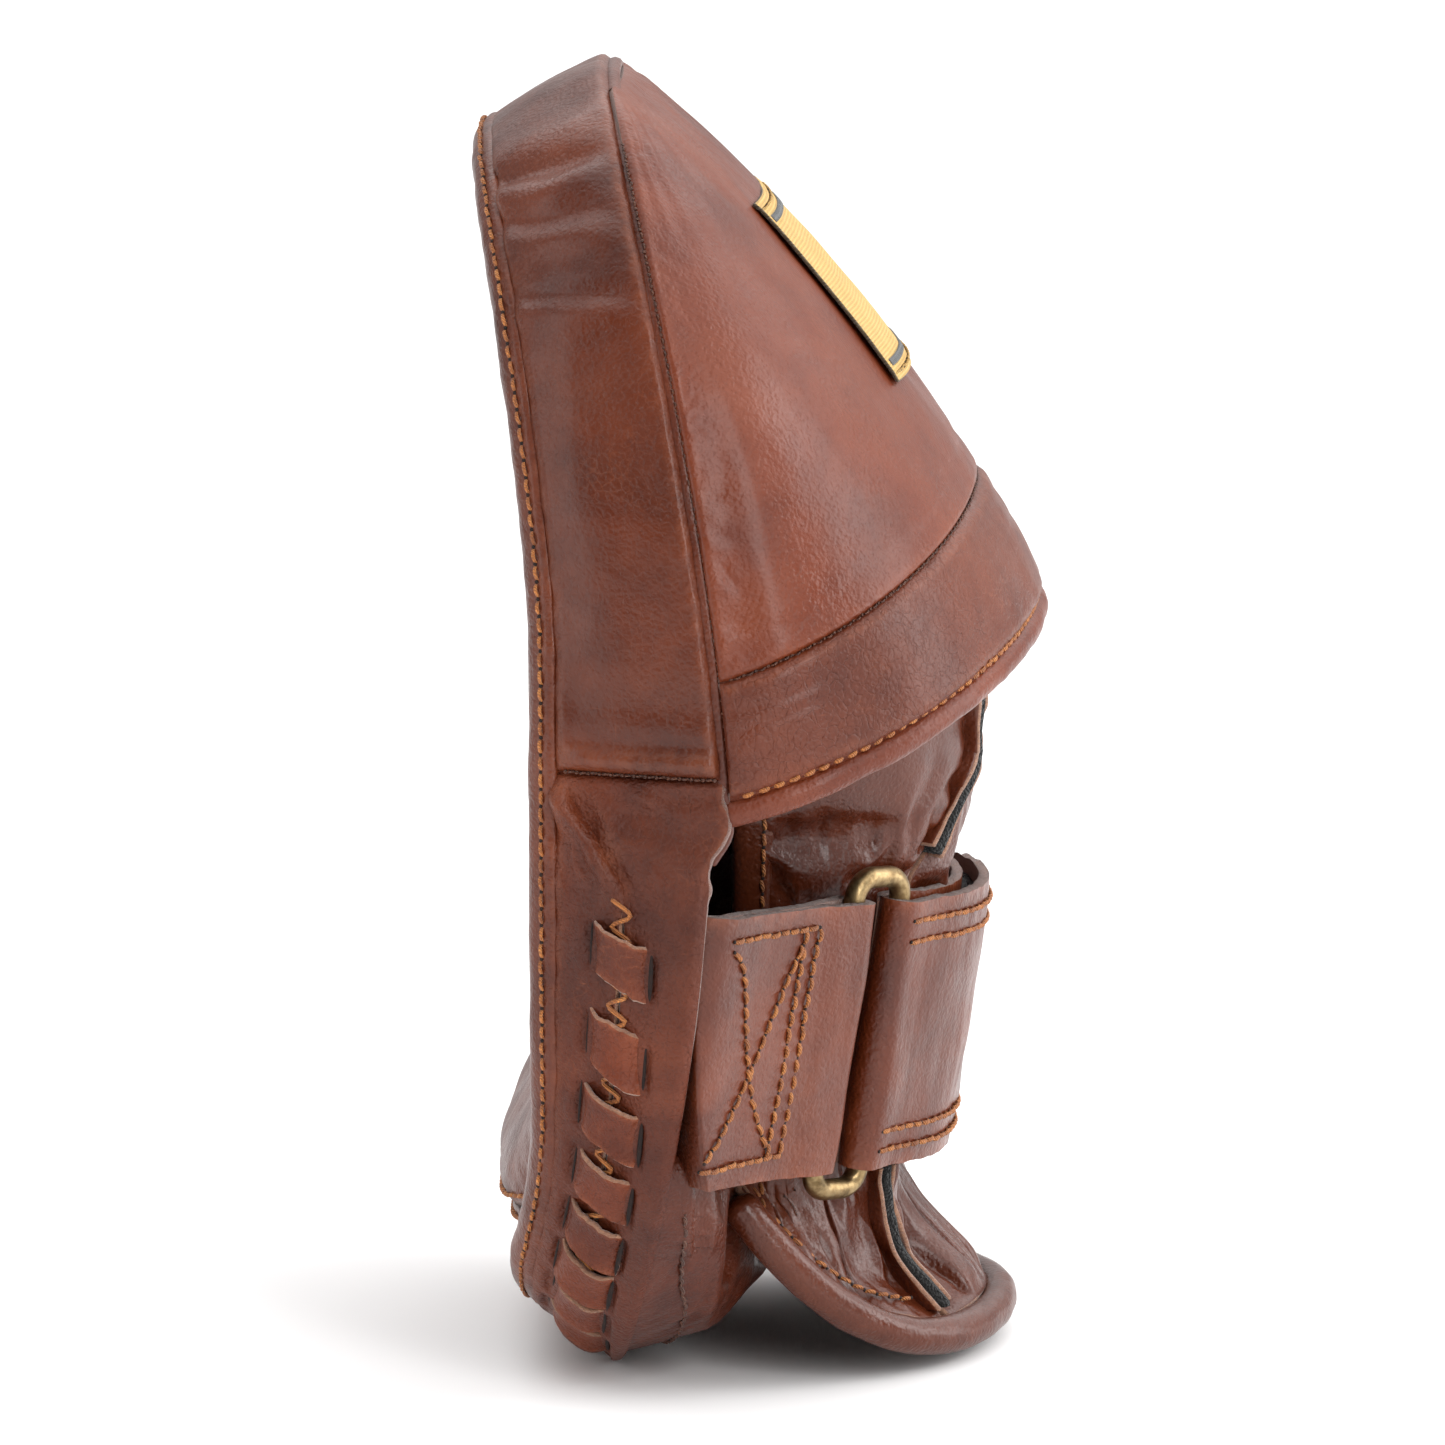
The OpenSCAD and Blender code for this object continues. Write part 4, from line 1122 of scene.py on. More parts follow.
def build_hood():
    f = np.radians(np.linspace(-89.3, 89.3, 260))
    f2, z = hood_rows(f, lambda a: band_edge(a) + 0.1, HEIGHT - 0.9, 150)
    side_gap = hood_depth(z) * np.cos(f2)
    seam_gap = z - band_edge(f2)
    tuck = np.maximum(1.5 * np.exp(-(side_gap / 1.1) ** 2), 1.1 * np.exp(-(seam_gap / 0.7) ** 2))
    p = hood_point(f2, z, tuck)
    soft = noise(p, 40, 90, 2) * 0.7 + noise(p, 12, 91, 2) * 0.12
    rays = np.sin(f2 * 34 + 3 * noise(p, 22, 92)) * 0.22 * bump(z, 243, 14) * ease(side_gap / 5)
    ticks = 0.16 * np.sin(z / 1.35 + 4 * noise(p, 8, 93)) * bump(side_gap, 4.5, 2.6)
    hollow = -0.9 * bump(side_gap, 6.5, 5) * ease((246 - z) / 20)
    lines = -0.25 * bump(seam_gap, 7 + 2 * noise(p, 30, 94), 1.2) * ease((side_gap - 8) / 12)
    edge = ease(side_gap / 2.5) * ease(seam_gap / 2.2) * ease((HEIGHT - z) / 5)
    p = relief(p, (soft + rays + hollow + lines) * edge + ticks * ease(side_gap / 2))
    wear = np.clip(0.35 * bump(seam_gap, 1.4, 0.9) + 0.2 * bump(side_gap, 2.4, 1.0), 0, 1)
    piece = skin("hood_leather", p, LEATHER, [M_HOOD_LIT, M_EDGE, M_SUEDE], wear=wear)
    done(piece, "root", "leather_hood", "hood_panel")

    v, f2 = grid(np.linspace(0, 1, 34), f)
    low, high = hood_edge(f2) + 2.3, band_edge(f2) - 0.1
    z = low + (high - low) * v
    side_gap = hood_depth(z) * np.cos(f2)
    top_gap, low_gap = high - z, z - low
    tuck = np.maximum(1.5 * np.exp(-(side_gap / 1.1) ** 2), 1.1 * np.exp(-(top_gap / 0.7) ** 2))
    tuck = np.maximum(tuck, 1.5 * np.exp(-(low_gap / 1.5) ** 2))
    p = hood_point(f2, z, tuck - 0.35)
    soft = noise(p, 26, 95, 2) * 0.5 + noise(p, 8, 96, 2) * 0.14
    bends = -0.35 * bump(top_gap, 6 + 2 * noise(p, 25, 97), 1.0) - 0.3 * bump(top_gap, 9.5, 0.9)
    ticks = 0.12 * np.sin(f2 * 70 + 3 * noise(p, 9, 98)) * np.exp(-low_gap / 2.5)
    edge = ease(side_gap / 2.5) * ease(top_gap / 2.0) * ease(low_gap / 2.2)
    p = relief(p, (soft + 0.5 * bends + 0.5 * bump(v, 0.5, 0.4)) * edge + ticks)
    wear = np.clip(0.5 * bump(top_gap, 1.3, 0.8) + 0.3 * bump(low_gap, 2.6, 1.0), 0, 1)
    piece = skin("hood_band_leather", p, LEATHER, [M_BAND, M_EDGE, M_SUEDE], wear=wear)
    done(piece, "root", "leather_hood", "hood_band")

    f = np.radians(np.linspace(-89, 89, 420))
    path = hood_point(f, hood_edge(f), 2.9)
    out = unit(stack(np.cos(f), np.sin(f), -0.2))
    piece = tube("hood_piping_roll", path, out, 2.85, [M_HOOD_LIT], sides=26, rumple=(0.2, 7, 99))
    done(piece, "root", "leather_hood", "hood_piping")
    row = hood_point(f, hood_edge(f) + 3.25, 0.85)
    out = unit(stack(np.cos(f), np.sin(f), -0.35))
    sewn_row(row[3:-3], out[3:-3], "hood_edge_stitches", pitch=3.1, seed=3, radius=0.5, length=3.0,
             lift=0.5)
    row = hood_point(f, band_edge(f), 0.85)
    sewn_row(row[4:-4], out[4:-4], "band_seam_stitches", pitch=2.5, mats=DARK_SEWING, seed=4,
             radius=0.22, length=1.5, lift=0.2)
    # welts that close the seams from behind: round the hood, and under the cross seams
    welts = []
    t = even_turns(300, -turn_at(112), turn_at(112))
    y, z = outline(t, 1, 2.6)
    welts.append(tube("welt", stack(rear_x(z) + 0.2, y, z), (1, 0, 0), 1.55, HIDE[:1], sides=10))
    for sign in (-1, 1):
        level = np.linspace(SEAM_LEVEL, 1, 40)
        row = side(sign * turn_at(SEAM_HEIGHT) + 0 * level, level, 3.0)
        welts.append(tube("welt", row, (0, sign, 0), 1.5, HIDE[:1], sides=10))
    welts.append(tube("welt", hood_point(f, band_edge(f), 2.4), out, 1.3, HIDE[:1], sides=10))
    done(join("seam_welts", welts), "root", "leather_gusset")
    for sign, name in ((-1, "side_seam_near"), (1, "side_seam_far")):
        z = np.linspace(133, 244, 260)
        row = hood_point(np.radians(sign * 89.2) + 0 * z, z, 1.2)
        sewn_row(row, (0.25, sign, 0.1), name, pitch=2.5, mats=DARK_SEWING, seed=5, radius=0.2,
                 length=1.4, lift=0.2)

    f = np.radians(np.linspace(-88, 88, 90))
    f2, z = hood_rows(f, lambda a: hood_edge(a) + 1.0, HEIGHT - 12, 60)
    inset = 2.6 + 4.4 * ease((z - hood_edge(f2) - 1.5) / 13)
    p = hood_point(f2, z, inset)
    p = relief(p, noise(p, 22, 100, 2) * 0.6)
    piece = skin("hood_lining_cloth", p, 1.1, [M_BLACK])
    done(piece, "root", "black_fabric", "hood_lining")
    f2, z = hood_rows(f[4:-4:4], lambda a: hood_edge(a) + 16, HEIGHT - 20, 16)
    slab_piece("hood_foam_block", hood_point(f2, z, 2.9), hood_point(f2, z, 5.6), [M_FOAM], "foam",
               "hood_foam")


LABEL_HALF = math.radians(22)


def build_label():
    z, f = grid(np.linspace(LABEL_LOW, LABEL_HIGH, 50), np.linspace(-LABEL_HALF, LABEL_HALF, 90))
    p = hood_point(f, z, -1.15)
    corner = (np.abs(f) / LABEL_HALF) ** 8 * 0.3
    p = relief(p, noise(p, 14, 110) * 0.22 + corner)
    fold = ease(np.minimum(z - LABEL_LOW, LABEL_HIGH - z) / 1.5)
    p = relief(p, -0.25 * (1 - fold))
    piece = skin("label_cloth", p, 0.7, [M_LABEL, M_LABEL_EDGE, M_LABEL])
    label_size(p)
    done(piece, "root", "label_weave", "label")
    bars = []
    for level in (199.2, 226.8):
        f = np.linspace(-LABEL_HALF * 0.9, LABEL_HALF * 0.9, 70)
        zz, f2 = grid(np.linspace(level - 0.55, level + 0.55, 4), f)
        bar = hood_point(f2, zz, -1.5)
        bars.append(skin("bar", relief(bar, noise(bar, 14, 110) * 0.22), 0.35, [M_BLACK]))
    done(join("label_bars", bars), "root", "label_weave")
    f = np.linspace(-LABEL_HALF, LABEL_HALF, 120) * 0.97
    rows = [hood_point(f, level + 0 * f, -1.35) for level in (197.3, 228.7)]
    for i, row in enumerate(rows):
        sewn_row(row, (0.9, 0, 0.5), f"label_stitches_{i}", pitch=2.6, mats=[M_LABEL_THREAD, M_HOLE_SHADE],
                 seed=30 + i, radius=0.22, length=2.0, lift=0.2)


def label_size(p):
    """Width and length of a nearly flat grid of points, in metres."""
    across = np.linalg.norm(np.diff(p, axis=1), axis=-1).sum(1).mean()
    along = np.linalg.norm(np.diff(p, axis=0), axis=-1).sum(0).mean()
    return (round(float(across) * MM, 4), round(float(along) * MM, 4))


# ---- Hand cover -------------------------------------------------------------
CREST_Z = (38, 46, 58, 72, 85, 96, 101, 109, 120, 130, 150)
CREST_X = (33.4, 34, 35.6, 37.8, 39.9, 41.6, 43, 44.8, 46.7, 47.7, 48)
WIDTH_Z = (92, 101, 112, 122, 150)
WIDTH_Y = (46.2, 48.6, 52, 53.4, 54)
SEAM_Z = (7, 25, 60, 97, 112, 120, 131, 150)
SEAM_DEG = (35, 36, 38, 38, 22, 17, 20, 22)


def cuff_z(f):
    return CUFF_R + 32 * over(1 - np.cos(f)) ** 2.2 + 2.5 * np.cos(f) ** 4


def cover_point(f, u, inset=0.0):
    z = COVER_TOP + (cuff_z(f) + CUFF_DROP - COVER_TOP) * u
    start = 0.82 + 0.09 * (1 - np.cos(f))
    flare = (over(u - start) / (1 - start)) ** 1.8
    return stack(-4 + (np.interp(z, CREST_Z, CREST_X) + 16 * flare - inset) * np.cos(f),
                 (np.interp(z, WIDTH_Z, WIDTH_Y) + 7 * flare - inset) * np.sin(f), z)


def seam_at(u):
    return np.radians(np.interp(COVER_TOP - 141 * u, SEAM_Z, SEAM_DEG))


def cuff_point(f):
    return cover_point(f, 1, -2.6) - np.array([0, 0, CUFF_DROP])


def build_cover():
    away = (-10.0, 0.0, 70.0)
    edge_gap = math.radians(1.5)
    for i, name in enumerate(("hand_near", "hand_back", "hand_far")):
        u, v = grid(np.linspace(0, 1, 38), np.linspace(0, 1, 18))
        seam = seam_at(u)
        start = (-math.pi / 2, -seam + edge_gap, seam + edge_gap)[i]
        end = (-seam - edge_gap, seam - edge_gap, math.pi / 2)[i]
        f = start + (end - start) * v
        p = cover_point(f, u)
        waist = bump(u, 0.56, 0.16)
        p = cloth_puff(p, 1.6, hold=ease((waist - 0.3) / 0.4), cap=3.0, away_from=away)
        p, f, u, v = (refined(p, 230, 130), refined(f[..., None], 230, 130)[..., 0],
                      refined(u[..., None], 230, 130)[..., 0], refined(v[..., None], 230, 130)[..., 0])
        run = f * 44
        low = ease((u - 0.70) / 0.14)
        fold = noise(stack(run, 17 * u, 0 * run), 7.5, 120, 2)
        pleats = (1.5 * fold - 2.0 * over(1 - np.abs(fold) * 4) ** 1.5) * low * ease((1.0 - u) / 0.02)
        big = noise(stack(run, 60 * u, 0 * u), 13, 122, 2) * 0.8 * low
        strapped = bump(u, 0.31, 0.045) + bump(u, 0.8, 0.06)
        crush = noise(stack(run * 1.6, 30 * u, 0 * u), 7, 123, 2) * 0.9 * strapped
        inner_v = np.minimum(v, 1 - v)
        pull = 0.5 * np.sin(u * 150 + 5 * noise(p, 13, 124)) * np.exp(-inner_v / 0.09) * bump(u, 0.2, 0.16)
        soft = noise(p, 26, 125, 2) * 0.6 + noise(p, 8, 126, 2) * 0.12
        valley = -1.6 * bump(v, 0.72 if i == 0 else 0.28, 0.05) * bump(u, 0.29, 0.09) * (i != 1)
        edge = ease(inner_v / 0.03)
        rise = np.maximum((pleats + big + crush + soft + pull + valley) * edge, -2.4)
        p = relief(p, rise, away_from=away)
        wear = np.clip(0.25 * over(pleats) * low + 0.35 * np.exp(-inner_v / 0.012), 0, 1)
        piece = skin(name + "_leather", p, 1.7, COVER_HIDE, away_from=away, wear=wear)
        done(piece, "root", "leather_hand", name + "_panel")
    build_edge_strips()
    build_ribs()

    f = np.radians(np.linspace(-90, 90, 420))
    out = unit(stack(np.cos(f), np.sin(f), 0.4))
    piece = tube("cuff_roll", cuff_point(f), out, CUFF_R, [M_HAND], sides=34, wear=0.12,
                 rumple=(0.3, 13, 130))
    done(piece, "root", "leather_hand", "cuff_binding")
    row = cover_point(f, 0.972 + 0 * f, -0.9)
    for sign, name in ((-1, "cuff_stitches_near"), (1, "cuff_stitches_far")):
        part = sign * f > math.radians(42)
        sewn_row(row[part], out[part], name, pitch=3.4, seed=40, radius=0.42)

    f = np.radians(np.linspace(-90, 90, 100))
    u, f2 = grid(np.linspace(0, 1, 60), f)
    inner = cover_point(f2, u, 6.4 - 2.0 * ease((u - 0.9) / 0.1))
    inner = relief(inner, noise(inner, 20, 131, 2) * 0.4, away_from=away)
    done(skin("hand_lining_cloth", inner, 1.1, [M_BLACK], away_from=away), "root", "black_fabric",
         "hand_lining")
    u, f2 = grid(np.linspace(0.02, 0.96, 24), f[2:-2:4])
    slab_piece("hand_padding_layer", cover_point(f2, u, 4.9), cover_point(f2, u, 6.3), [M_FOAM], "foam",
               "hand_padding")


def build_edge_strips():
    """Leather turned over the cover's two front edges, with its row of stitches."""
    for sign, name in ((-1, "near"), (1, "far")):
        u = np.linspace(0.0, 0.985, 220)
        profile = spline(np.array([[-0.3, 5.4], [-1.6, 3.0], [-1.9, 0.4], [-0.6, -1.2], [2.0, -1.2],
                                   [5.2, -0.5], [6.6, 1.2], [6.9, 3.6]]), 22)
        rows = []
        for depth, inset in profile:
            base = cover_point(sign * (math.pi / 2 - over(depth) / 46) + 0 * u, u, inset - 0.2)
            rows.append(base + np.array([min(0.0, depth), 0, 0]))
        p = np.stack(rows, 0)
        p = p + noise(p, 6, 140, 2)[..., None] * 0.3 * unit(p - np.array([5.0, 0, 0]))
        piece = skin(f"hand_edge_{name}", p, 1.0, COVER_HIDE,
                     inner=p - 0.9 * normals(p, away_from=np.mean(p, axis=0, keepdims=True)),
                     wear=0.3 + 0 * p[..., 0])
        done(piece, "root", "leather_hand")
        row = cover_point(sign * (math.pi / 2 - 4.3 / 46) + 0 * u, u, -1.2)
        sewn_row(row, (0.3, sign, 0), f"hand_edge_stitches_{name}", pitch=3.4, seed=41, radius=0.42)


def build_ribs():
    """Raised seams of the cover: two leather plies with black felt between them."""
    for sign, name in ((-1, "near"), (1, "far")):
        plies, felts = [], []
        for low, high in ((0.02, 0.34), (0.79, 0.985)):
            u = np.linspace(low, high, 150)
            f = sign * seam_at(u)
            base = cover_point(f, u, 0.6)
            top = cover_point(f, u, -2.9)
            out = unit(top - base)
            along = unit(np.gradient(base, axis=0))
            side_way = unit(np.cross(out, along))
            lean = 0.5 * np.sin(u * 60)[:, None] * side_way
            for offset, thick, rise, where in ((-1.95, 1.3, 3.3, plies), (1.95, 1.3, 2.9, plies),
                                               (0.0, 2.6, 3.3, felts)):
                h = np.linspace(-0.6, 1, 9)
                wave = noise(stack(u * 160, 0 * u + 9 * offset, 0 * u + 7 * sign), 5, 150, 2) * 0.55
                crest = rise + wave
                mid = (base[None] + (h[:, None] * crest)[..., None] * out[None]
                       + (offset * (1 + 0.12 * over(h[:, None])))[..., None] * side_way[None]
                       + over(h)[:, None, None] ** 2 * lean[None])
                swing = side_way[None] * thick / 2 * (1 if offset >= 0 else -1)
                mats = COVER_HIDE if where is plies else [M_FELT]
                where.append(skin("ply", mid + swing, thick, mats, inner=mid - swing,
                                  wear=0.6 * over(h)[:, None] ** 3 + 0 * mid[..., 0]))
        done(join(f"hand_seam_plies_{name}", plies), "root", "leather_hand", f"hand_seam_{name}")
        done(join(f"hand_seam_felt_{name}", felts), "root", "black_fabric")


PALM_X, PALM_Z, PALM_R = -9, 112, 14.0


def build_palm_ball():
    turn, tilt = grid(np.linspace(0, math.pi / 2 - 0.02, 26),
                      np.linspace(0, 2 * math.pi, 72, endpoint=False))
    centre = (PALM_X, 0, PALM_Z)
    flat_r = PALM_R * np.cos(turn * 0.965)
    p = stack(PALM_X + PALM_R * np.sin(turn * 0.99), flat_r * np.cos(tilt),
              PALM_Z + flat_r * np.sin(tilt))
    dimple = 0.6 * np.cos(4 * tilt) * bump(turn, 0.35, 0.4)
    p = relief(p, noise(p, 7, 160, 2) * 0.35 + dimple * 0.4, away_from=centre, wrap=True)
    piece = skin("palm_ball_leather", p, 1.6, HIDE, wrap=True, away_from=centre)
    done(piece, "root", "leather_hand", "palm_ball")
    a = np.linspace(0, 2 * math.pi, 120)
    row_r = 15.2
    row = stack(-6.2 + 0 * a, row_r * np.cos(a), PALM_Z + row_r * np.sin(a))
    sewn_row(row, (1, 0, 0), "palm_ball_stitches", pitch=3.2, seed=42, mats=DARK_SEWING)


# ---- Strap ------------------------------------------------------------------
STRAP_MID = 71.8             # height of the strap's frame
LEAN = math.radians(8.5)
LOOP_A, LOOP_B = 41.0, 47.3
INNER_BAR = np.array([14.0, -52.4])
RING_TURN = math.radians(49)
OUTER_BAR = INNER_BAR + 13.8 * np.array([math.cos(RING_TURN), math.sin(RING_TURN)])
TAB_END = np.array([-11.2, -90.8])
FAR_END = np.array([-12.2, 90.5])
BORE = 2.3
STRAP_T = 2.2
STRAP_HALF = 27.0
FLAP_IN = 5.5
FLAP_FROM, FLAP_TO = -39.0, 30.0
STRAP_SEWING = {"pitch": 3.3, "length": 3.1, "radius": 0.5}


def strap_point(x, y, h):
    """From the strap's leaning frame to the object's."""
    return stack(x * math.cos(LEAN) + h * math.sin(LEAN), y,
                 STRAP_MID - x * math.sin(LEAN) + h * math.cos(LEAN))


def loop_point(deg, d):
    t = np.radians(deg)
    return np.stack([-6 + (LOOP_A + d) * np.cos(t), (LOOP_B + d) * np.sin(t)], -1)


def about(centre, radius, start, end, count):
    a = np.radians(np.linspace(start, end, count))
    return centre + radius * np.stack([np.cos(a), np.sin(a)], -1)


def path_side(path):
    """Directions to the right of a flat path."""
    along = unit(np.gradient(path, axis=0))
    return np.stack([along[:, 1], -along[:, 0]], -1)


def tucked(p, clear):
    """Points of the strap drawn in under the edge of the gusset near the pad."""
    room = half_width_at(p[..., 2]) - clear + 0.75 * over(p[..., 0] - rear_x(p[..., 2]) + 1)
    slope = (INNER_BAR[1] - TAB_END[1]) / (INNER_BAR[0] - TAB_END[0])
    middle = -TAB_END[1] - slope * (p[..., 0] - TAB_END[0])
    excess = over(middle - room) * (p[..., 0] < 8)
    moved = p.copy()
    moved[..., 1] -= np.sign(p[..., 1]) * excess
    return moved


def strap_band(name, path, thick, seed, mats, rows=56, half=STRAP_HALF, crease=0.25, round_end=0.0,
               clear=None):
    """A leather band along a flat path, with its outer face to the right of the path."""
    way = path_side(path)
    run = run_along(path)
    v = np.sin(np.linspace(-1, 1, rows) * math.pi / 2)
    left = over(1 - (over(round_end - (run[-1] - run)) / max(round_end, 1e-6)) ** 2) ** 0.5
    reach = (half - round_end * (1 - left)) if round_end else half + 0 * run
    h = v[:, None] * reach[None]
    ragged = noise(np.stack([run, 0 * run, 0 * run + seed], -1), 3.5, seed) * 0.22
    h = h + ragged[None] * np.sign(v)[:, None] * np.abs(v)[:, None] ** 8
    where = np.stack(np.broadcast_arrays(run[None], h, 0 * h + 11 * seed), -1)
    wave = noise(where, 16, seed, 2) * crease + noise(where * np.array([2.6, 0.5, 1]), 8, seed + 1) * 0.1
    curl = 0.35 * (np.abs(v)[:, None] ** 6)
    lift = wave - curl
    outer = path[None] + way[None] * (thick / 2 + lift)[..., None]
    inner = path[None] + way[None] * (-thick / 2 + lift)[..., None]
    p = strap_point(outer[..., 0], outer[..., 1], h)
    q = strap_point(inner[..., 0], inner[..., 1], h)
    if clear:
        p, q = tucked(p, clear), tucked(q, clear)
    wear = np.clip(0.8 * np.abs(v)[:, None] ** 14 + 0.3 * over(wave / crease) ** 2, 0, 1)
    return skin(name, p, thick, mats, inner=q, wear=wear + 0 * run[None], rim=-0.3)


def sew(name, path, rows, seed, lift, clear=None, **settings):
    """Stitch rows on a band: each is a list of (distance along the path, height)."""
    run = run_along(path)
    way = path_side(path)
    pieces = []
    for i, row in enumerate(rows):
        row = resample(spline(np.array([[*r, 0.0] for r in row], float), 60), pitch=0.8)
        x, y = (np.interp(row[:, 0], run, path[:, c]) for c in (0, 1))
        wx, wy = (np.interp(row[:, 0], run, way[:, c]) for c in (0, 1))
        p = strap_point(x + wx * lift, y + wy * lift, row[:, 1])
        if clear:
            p = tucked(p, clear)
        up = strap_point(wx, wy, 0 * wx) - strap_point(0 * wx, 0 * wx, 0 * wx)
        pieces.append(stitches(name + str(i), p, up, SEWING, seed=seed + i, **settings))
    return join(name, pieces)


def build_tab():
    way = unit(INNER_BAR - TAB_END)
    out = np.array([way[1], -way[0]])
    length = float(np.linalg.norm(INNER_BAR - TAB_END))
    gap = STRAP_T / 2 + 0.05
    bar_r = BORE + STRAP_T / 2
    start = TAB_END - way * 2
    def leg(sign):
        steps = [(0, gap), (length * 0.3, gap), (length * 0.6, gap), (length * 0.74, gap + 0.3),
                 (length * 0.88, gap + 1.5), (length - 0.6 + 2, bar_r)]
        return np.array([start + way * a + out * b * sign for a, b in steps])
    angle = math.degrees(math.atan2(out[1], out[0]))
    bend = about(INNER_BAR, bar_r, angle + 12, angle + 168, 16)
    hidden = np.array([-8.5, -1.2])
    legs = [np.concatenate([[leg(sign)[0] + hidden], leg(sign)]) for sign in (1, -1)]
    path = resample(np.concatenate([spline(legs[0], 60), bend, spline(legs[1], 60)[::-1]]), count=250)
    piece = strap_band("strap_tab_leather", path, STRAP_T - 0.15, 200, STRAP_HIDE,
                       rows=60, crease=0.3, clear=5.0)
    done(piece, "root", "leather_strap", "strap_tab")
    rows = [[(2.5, 22.6), (16, 23.0), (32.5, 23.2)], [(2.5, -23), (16, -22.4), (31.5, -22.0)],
            [(28.4, 23.2), (27.8, 8), (27.2, -8), (26.0, -22.2)],
            [(33.2, 23.2), (32.4, 8), (31.8, -8), (30.6, -22.0)],
            [(3, 20.5), (7.5, 16), (12.5, 2), (18, -10), (25.6, -20)],
            [(3.5, -21), (11, -12), (18, 0.5), (23, 11), (28.0, 20)]]
    rows = [[(a + 8.6, h) for a, h in row] for row in rows]
    done(sew("tab_stitches", path, rows, 50, STRAP_T / 2 + 0.1, clear=5.0, **STRAP_SEWING), "root",
         "thread")


def build_strap():
    # main band, from the far edge of the pad round the hand to the ring
    loop = loop_point(np.linspace(36, -46, 90), STRAP_T / 2)
    start = FAR_END + np.array([-5.0, 0.8])
    straight = np.linspace(0, 1, 40)[:, None] * (loop[0] - start) + start
    turn = math.radians(65)
    opening = np.array([math.cos(turn), math.sin(turn)])
    inside = OUTER_BAR + (BORE + 1.1) * np.array([-opening[1], opening[0]])
    inner_leg = np.array([inside + opening * 4.5, inside + opening * 1.2])
    hold = about(OUTER_BAR, BORE + 1.1, 155, 205, 12)
    path = np.concatenate([straight[:-3], loop[3:-4], inner_leg, hold])
    path = resample(spline(resample(path, pitch=3.0), 700), count=330)
    piece = strap_band("strap_main_leather", path[::-1], STRAP_T, 210, STRAP_HIDE,
                       crease=0.35, clear=4.5)
    done_blend(piece, "root", "ring", loop_point(-30, 0), loop_point(-47, 0), "leather_strap",
               "strap_main")
    back = path[::-1]
    total = float(run_along(path)[-1])
    rows = [[(total - 9, h), (total - 38, h)] for h in (22.8, -22.8)]
    rows += [[(total - 38, 22.8), (total - 38, -22.8)]]
    rows += [[(total - 10, 21.5), (total - 37, -21.5)], [(total - 10, -21.5), (total - 37, 21.5)]]
    done(sew("far_stitches", back, rows, 60, STRAP_T / 2 + 0.12, clear=4.5, **STRAP_SEWING), "root",
         "thread")

    # flap, from round the ring's outer bar back over the main band
    bend = about(OUTER_BAR, BORE + 1.1, 196, 335, 36)
    outside = OUTER_BAR + (BORE + 1.1) * np.array([opening[1], -opening[0]])
    flap = loop_point(np.linspace(FLAP_FROM + 3, FLAP_TO, 90), FLAP_IN + STRAP_T / 2)
    path = np.concatenate([bend, [outside + opening * 4], [outside + opening * 7.5], flap])
    path = resample(spline(resample(path, pitch=2.2), 700), count=300)
    piece = strap_band("strap_flap_leather", path, STRAP_T, 220, STRAP_HIDE,
                       crease=0.45, round_end=7.0)
    pivot = loop_point(FLAP_FROM, FLAP_IN + STRAP_T / 2)
    lead = unit(loop_point(FLAP_FROM + 4, 6.6) - pivot)
    done_blend(piece, "ring", "strap_flap", pivot - lead * 5, pivot + lead * 4, "leather_strap",
               "strap_fold", "strap_flap")
    total = float(run_along(path)[-1])
    rows = [[(7.5, h), (total * 0.5, h + 0.15), (total - 6.5, h)] for h in (23.2, 19.0, -19.2, -23.2)]
    rows += [[(total - 4.2, 16), (total - 4.0, 0), (total - 4.2, -16)]]
    stitching = sew("flap_stitches", path, rows, 70, STRAP_T / 2 + 0.12, **STRAP_SEWING)
    done_blend(stitching, "ring", "strap_flap", pivot - lead * 5, pivot + lead * 4, "thread")

    for name, body, low, high, base, thick, mat, node in (
            ("loop_tape", "root", -30, 34, STRAP_T + 0.05, 1.4, M_LOOP, "loop_patch"),
            ("hook_tape", "strap_flap", -22, 26, STRAP_T + 1.8, 1.35, M_HOOK, "hook_patch")):
        line = loop_point(np.linspace(low, high, 90), base + thick / 2)
        piece = strap_band(name + "_pile", line, thick, 230, [mat], half=24.0 + 0 * line[:, 0],
                           rows=30, crease=0.05)
        done(piece, body, "hook_and_loop", node)


def done_blend(piece, a, b, start, end, slot_name, *nodes):
    """Finish a piece that crosses a joint between two points of the strap's frame: hide its CAD nodes and
    bake its transform; the two points are worked out but not used.
    """
    ends = [tuple(float(c) * MM for c in strap_point(q[0], q[1], 0.0)) for q in (start, end)]
    if nodes:
        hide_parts(*nodes)
    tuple(ends[0])
    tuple(ends[1])
    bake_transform(piece)
    return piece


def finish_ring():
    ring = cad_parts["ring"]
    for slot_now in ring.material_slots:
        slot_now.link = "OBJECT"
        slot_now.material = M_BRASS


build_hood()
build_label()
build_cover()
build_palm_ball()
build_tab()
build_strap()
finish_ring()


# ---- Stage ------------------------------------------------------------------
def build_floor():
    n = Nodes("floor_paper")
    shade = n.ramp(n.noise(0.8, 2), (0.3, (0.90, 0.90, 0.90)), (0.7, (0.92, 0.92, 0.92)))
    paper = n.finish(Base_Color=shade, Roughness=0.9, Specular_IOR_Level=0.1)
    reach, count = 9000.0, 13
    x, y = grid(np.linspace(-reach, reach, count), np.linspace(-reach, reach, count))
    points = stack(x, y, 0 * x - 0.4).reshape(-1, 3)
    floor = make("floor", points, quads(count, count, False), [paper])


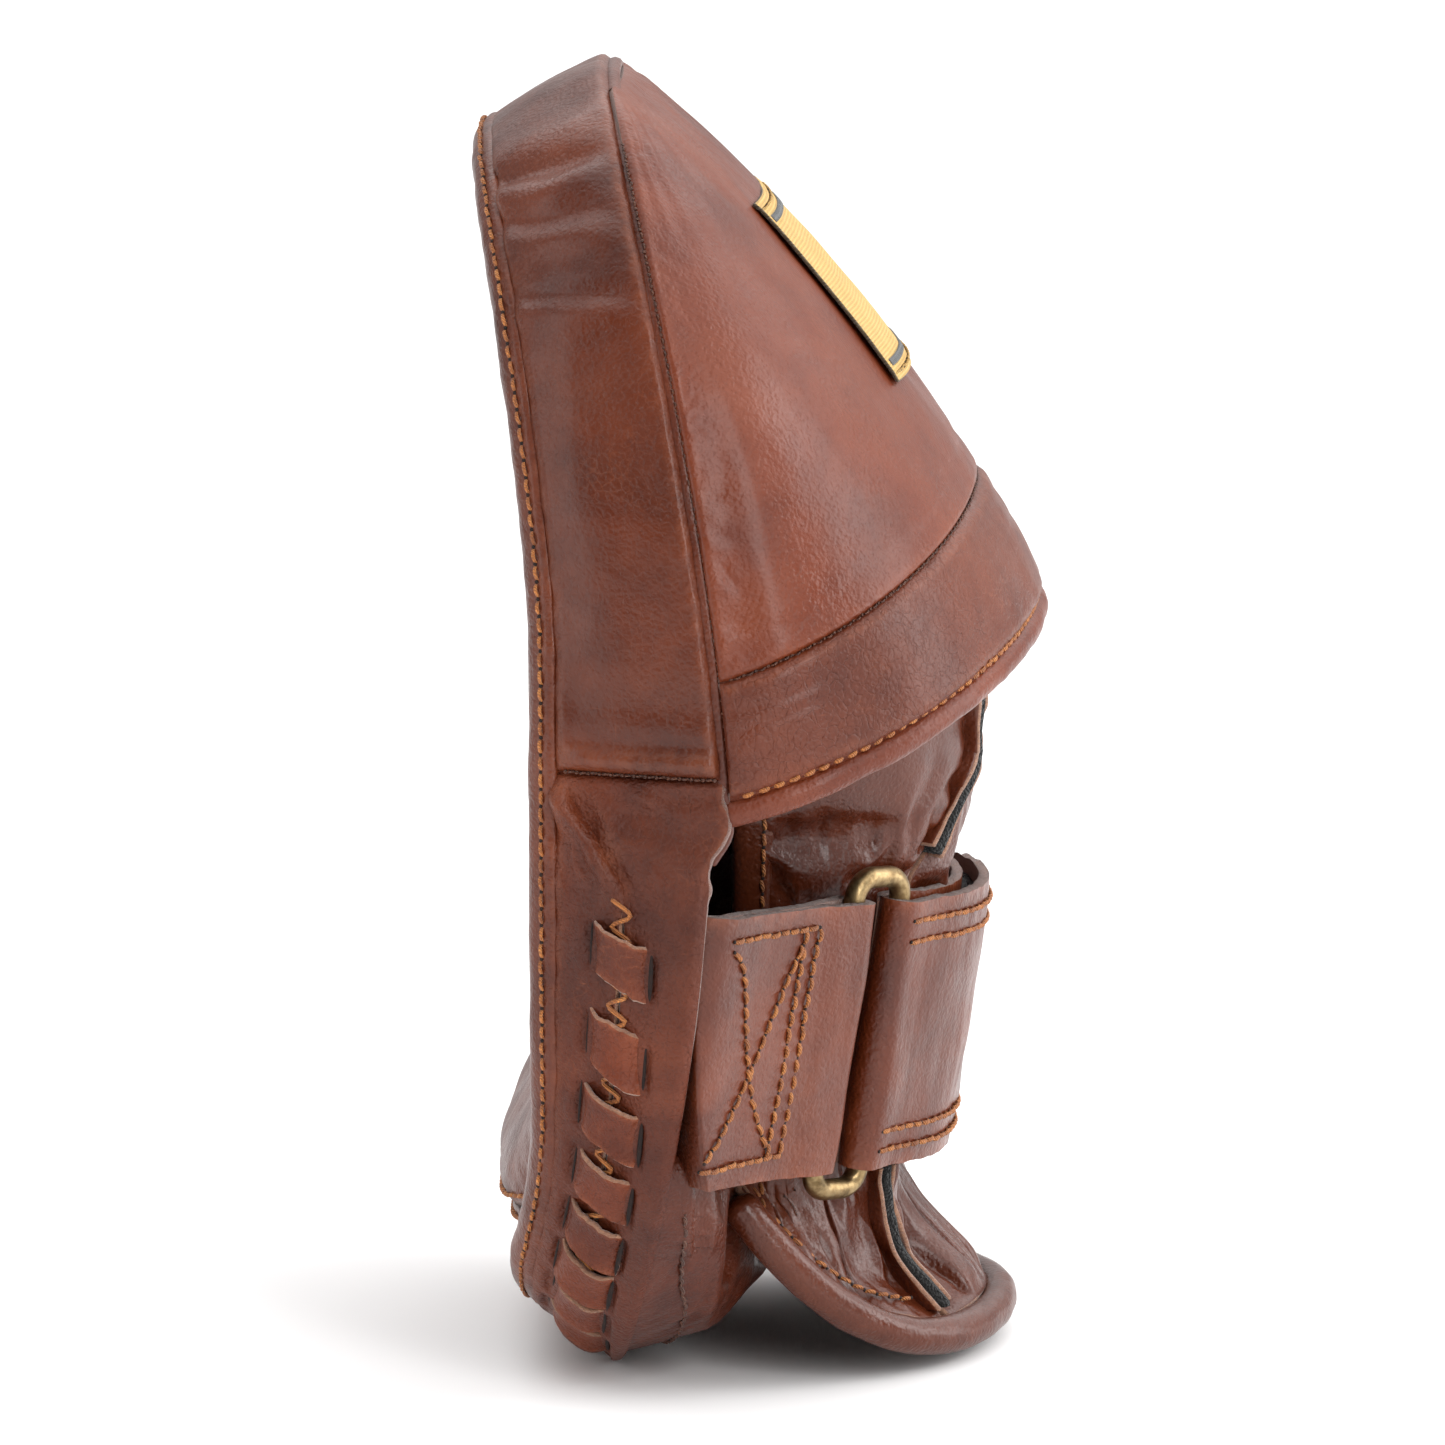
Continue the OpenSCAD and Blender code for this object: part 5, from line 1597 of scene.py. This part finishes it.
def area_light(name, place, aim, size, power_w):
    lamp = bpy.data.lights.new(name, "AREA")
    lamp.shape = "RECTANGLE"
    lamp.size, lamp.size_y = size
    lamp.energy = power_w
    lamp_object = bpy.data.objects.new(name, lamp)
    lamp_object.location = place
    lamp_object.rotation_euler = (Vector(aim) - Vector(place)).to_track_quat("-Z", "Y").to_euler()
    bpy.context.scene.collection.objects.link(lamp_object)


def build_lights():
    world = bpy.data.worlds.new("white_surround")
    world.use_nodes = True
    tree = world.node_tree
    background = tree.nodes["Background"]
    place = tree.nodes.new("ShaderNodeTexCoord")
    split = tree.nodes.new("ShaderNodeSeparateXYZ")
    fade = tree.nodes.new("ShaderNodeMapRange")
    fade.inputs["From Min"].default_value = -0.9
    fade.inputs["From Max"].default_value = 0.35
    fade.inputs["To Min"].default_value = 0.10
    fade.inputs["To Max"].default_value = 0.60
    tree.links.new(place.outputs["Generated"], split.inputs[0])
    tree.links.new(split.outputs["Y"], fade.inputs["Value"])
    tree.links.new(fade.outputs[0], background.inputs["Strength"])
    background.inputs["Color"].default_value = (1, 1, 1, 1)
    bpy.context.scene.world = world
    sky = bpy.data.lights.new("overhead", "SUN")
    sky.energy = 3.1
    sky.angle = math.radians(110)
    lamp = bpy.data.objects.new("overhead", sky)
    lamp.rotation_euler = Vector((-0.2, -0.2, -1.0)).to_track_quat("-Z", "Y").to_euler()
    bpy.context.scene.collection.objects.link(lamp)
    middle = (0.0, 0.0, 0.13)
    area_light("left_softbox", (-1.2, -0.55, 0.5), middle, (0.3, 1.1), 4)
    area_light("front_softbox", (0.60, -1.05, 0.62), middle, (0.3, 0.9), 9)
    area_light("right_softbox", (1.3, 0.1, 0.4), middle, (0.6, 1.2), 12)


def build_camera():
    distance, rise = 1.7, math.radians(9)
    aim = Vector((-0.0078, 0.0, 0.1231))
    eye = bpy.data.cameras.new("camera")
    eye.sensor_width = 36
    eye.lens = 211.8
    eye.clip_end = 60
    camera = bpy.data.objects.new("camera", eye)
    camera.location = aim + distance * Vector((0, -math.cos(rise), math.sin(rise)))
    camera.rotation_euler = (aim - camera.location).to_track_quat("-Z", "Y").to_euler()
    bpy.context.scene.collection.objects.link(camera)
    bpy.context.scene.camera = camera


build_floor()
build_lights()
build_camera()
bpy.context.scene.view_settings.view_transform = "Standard"
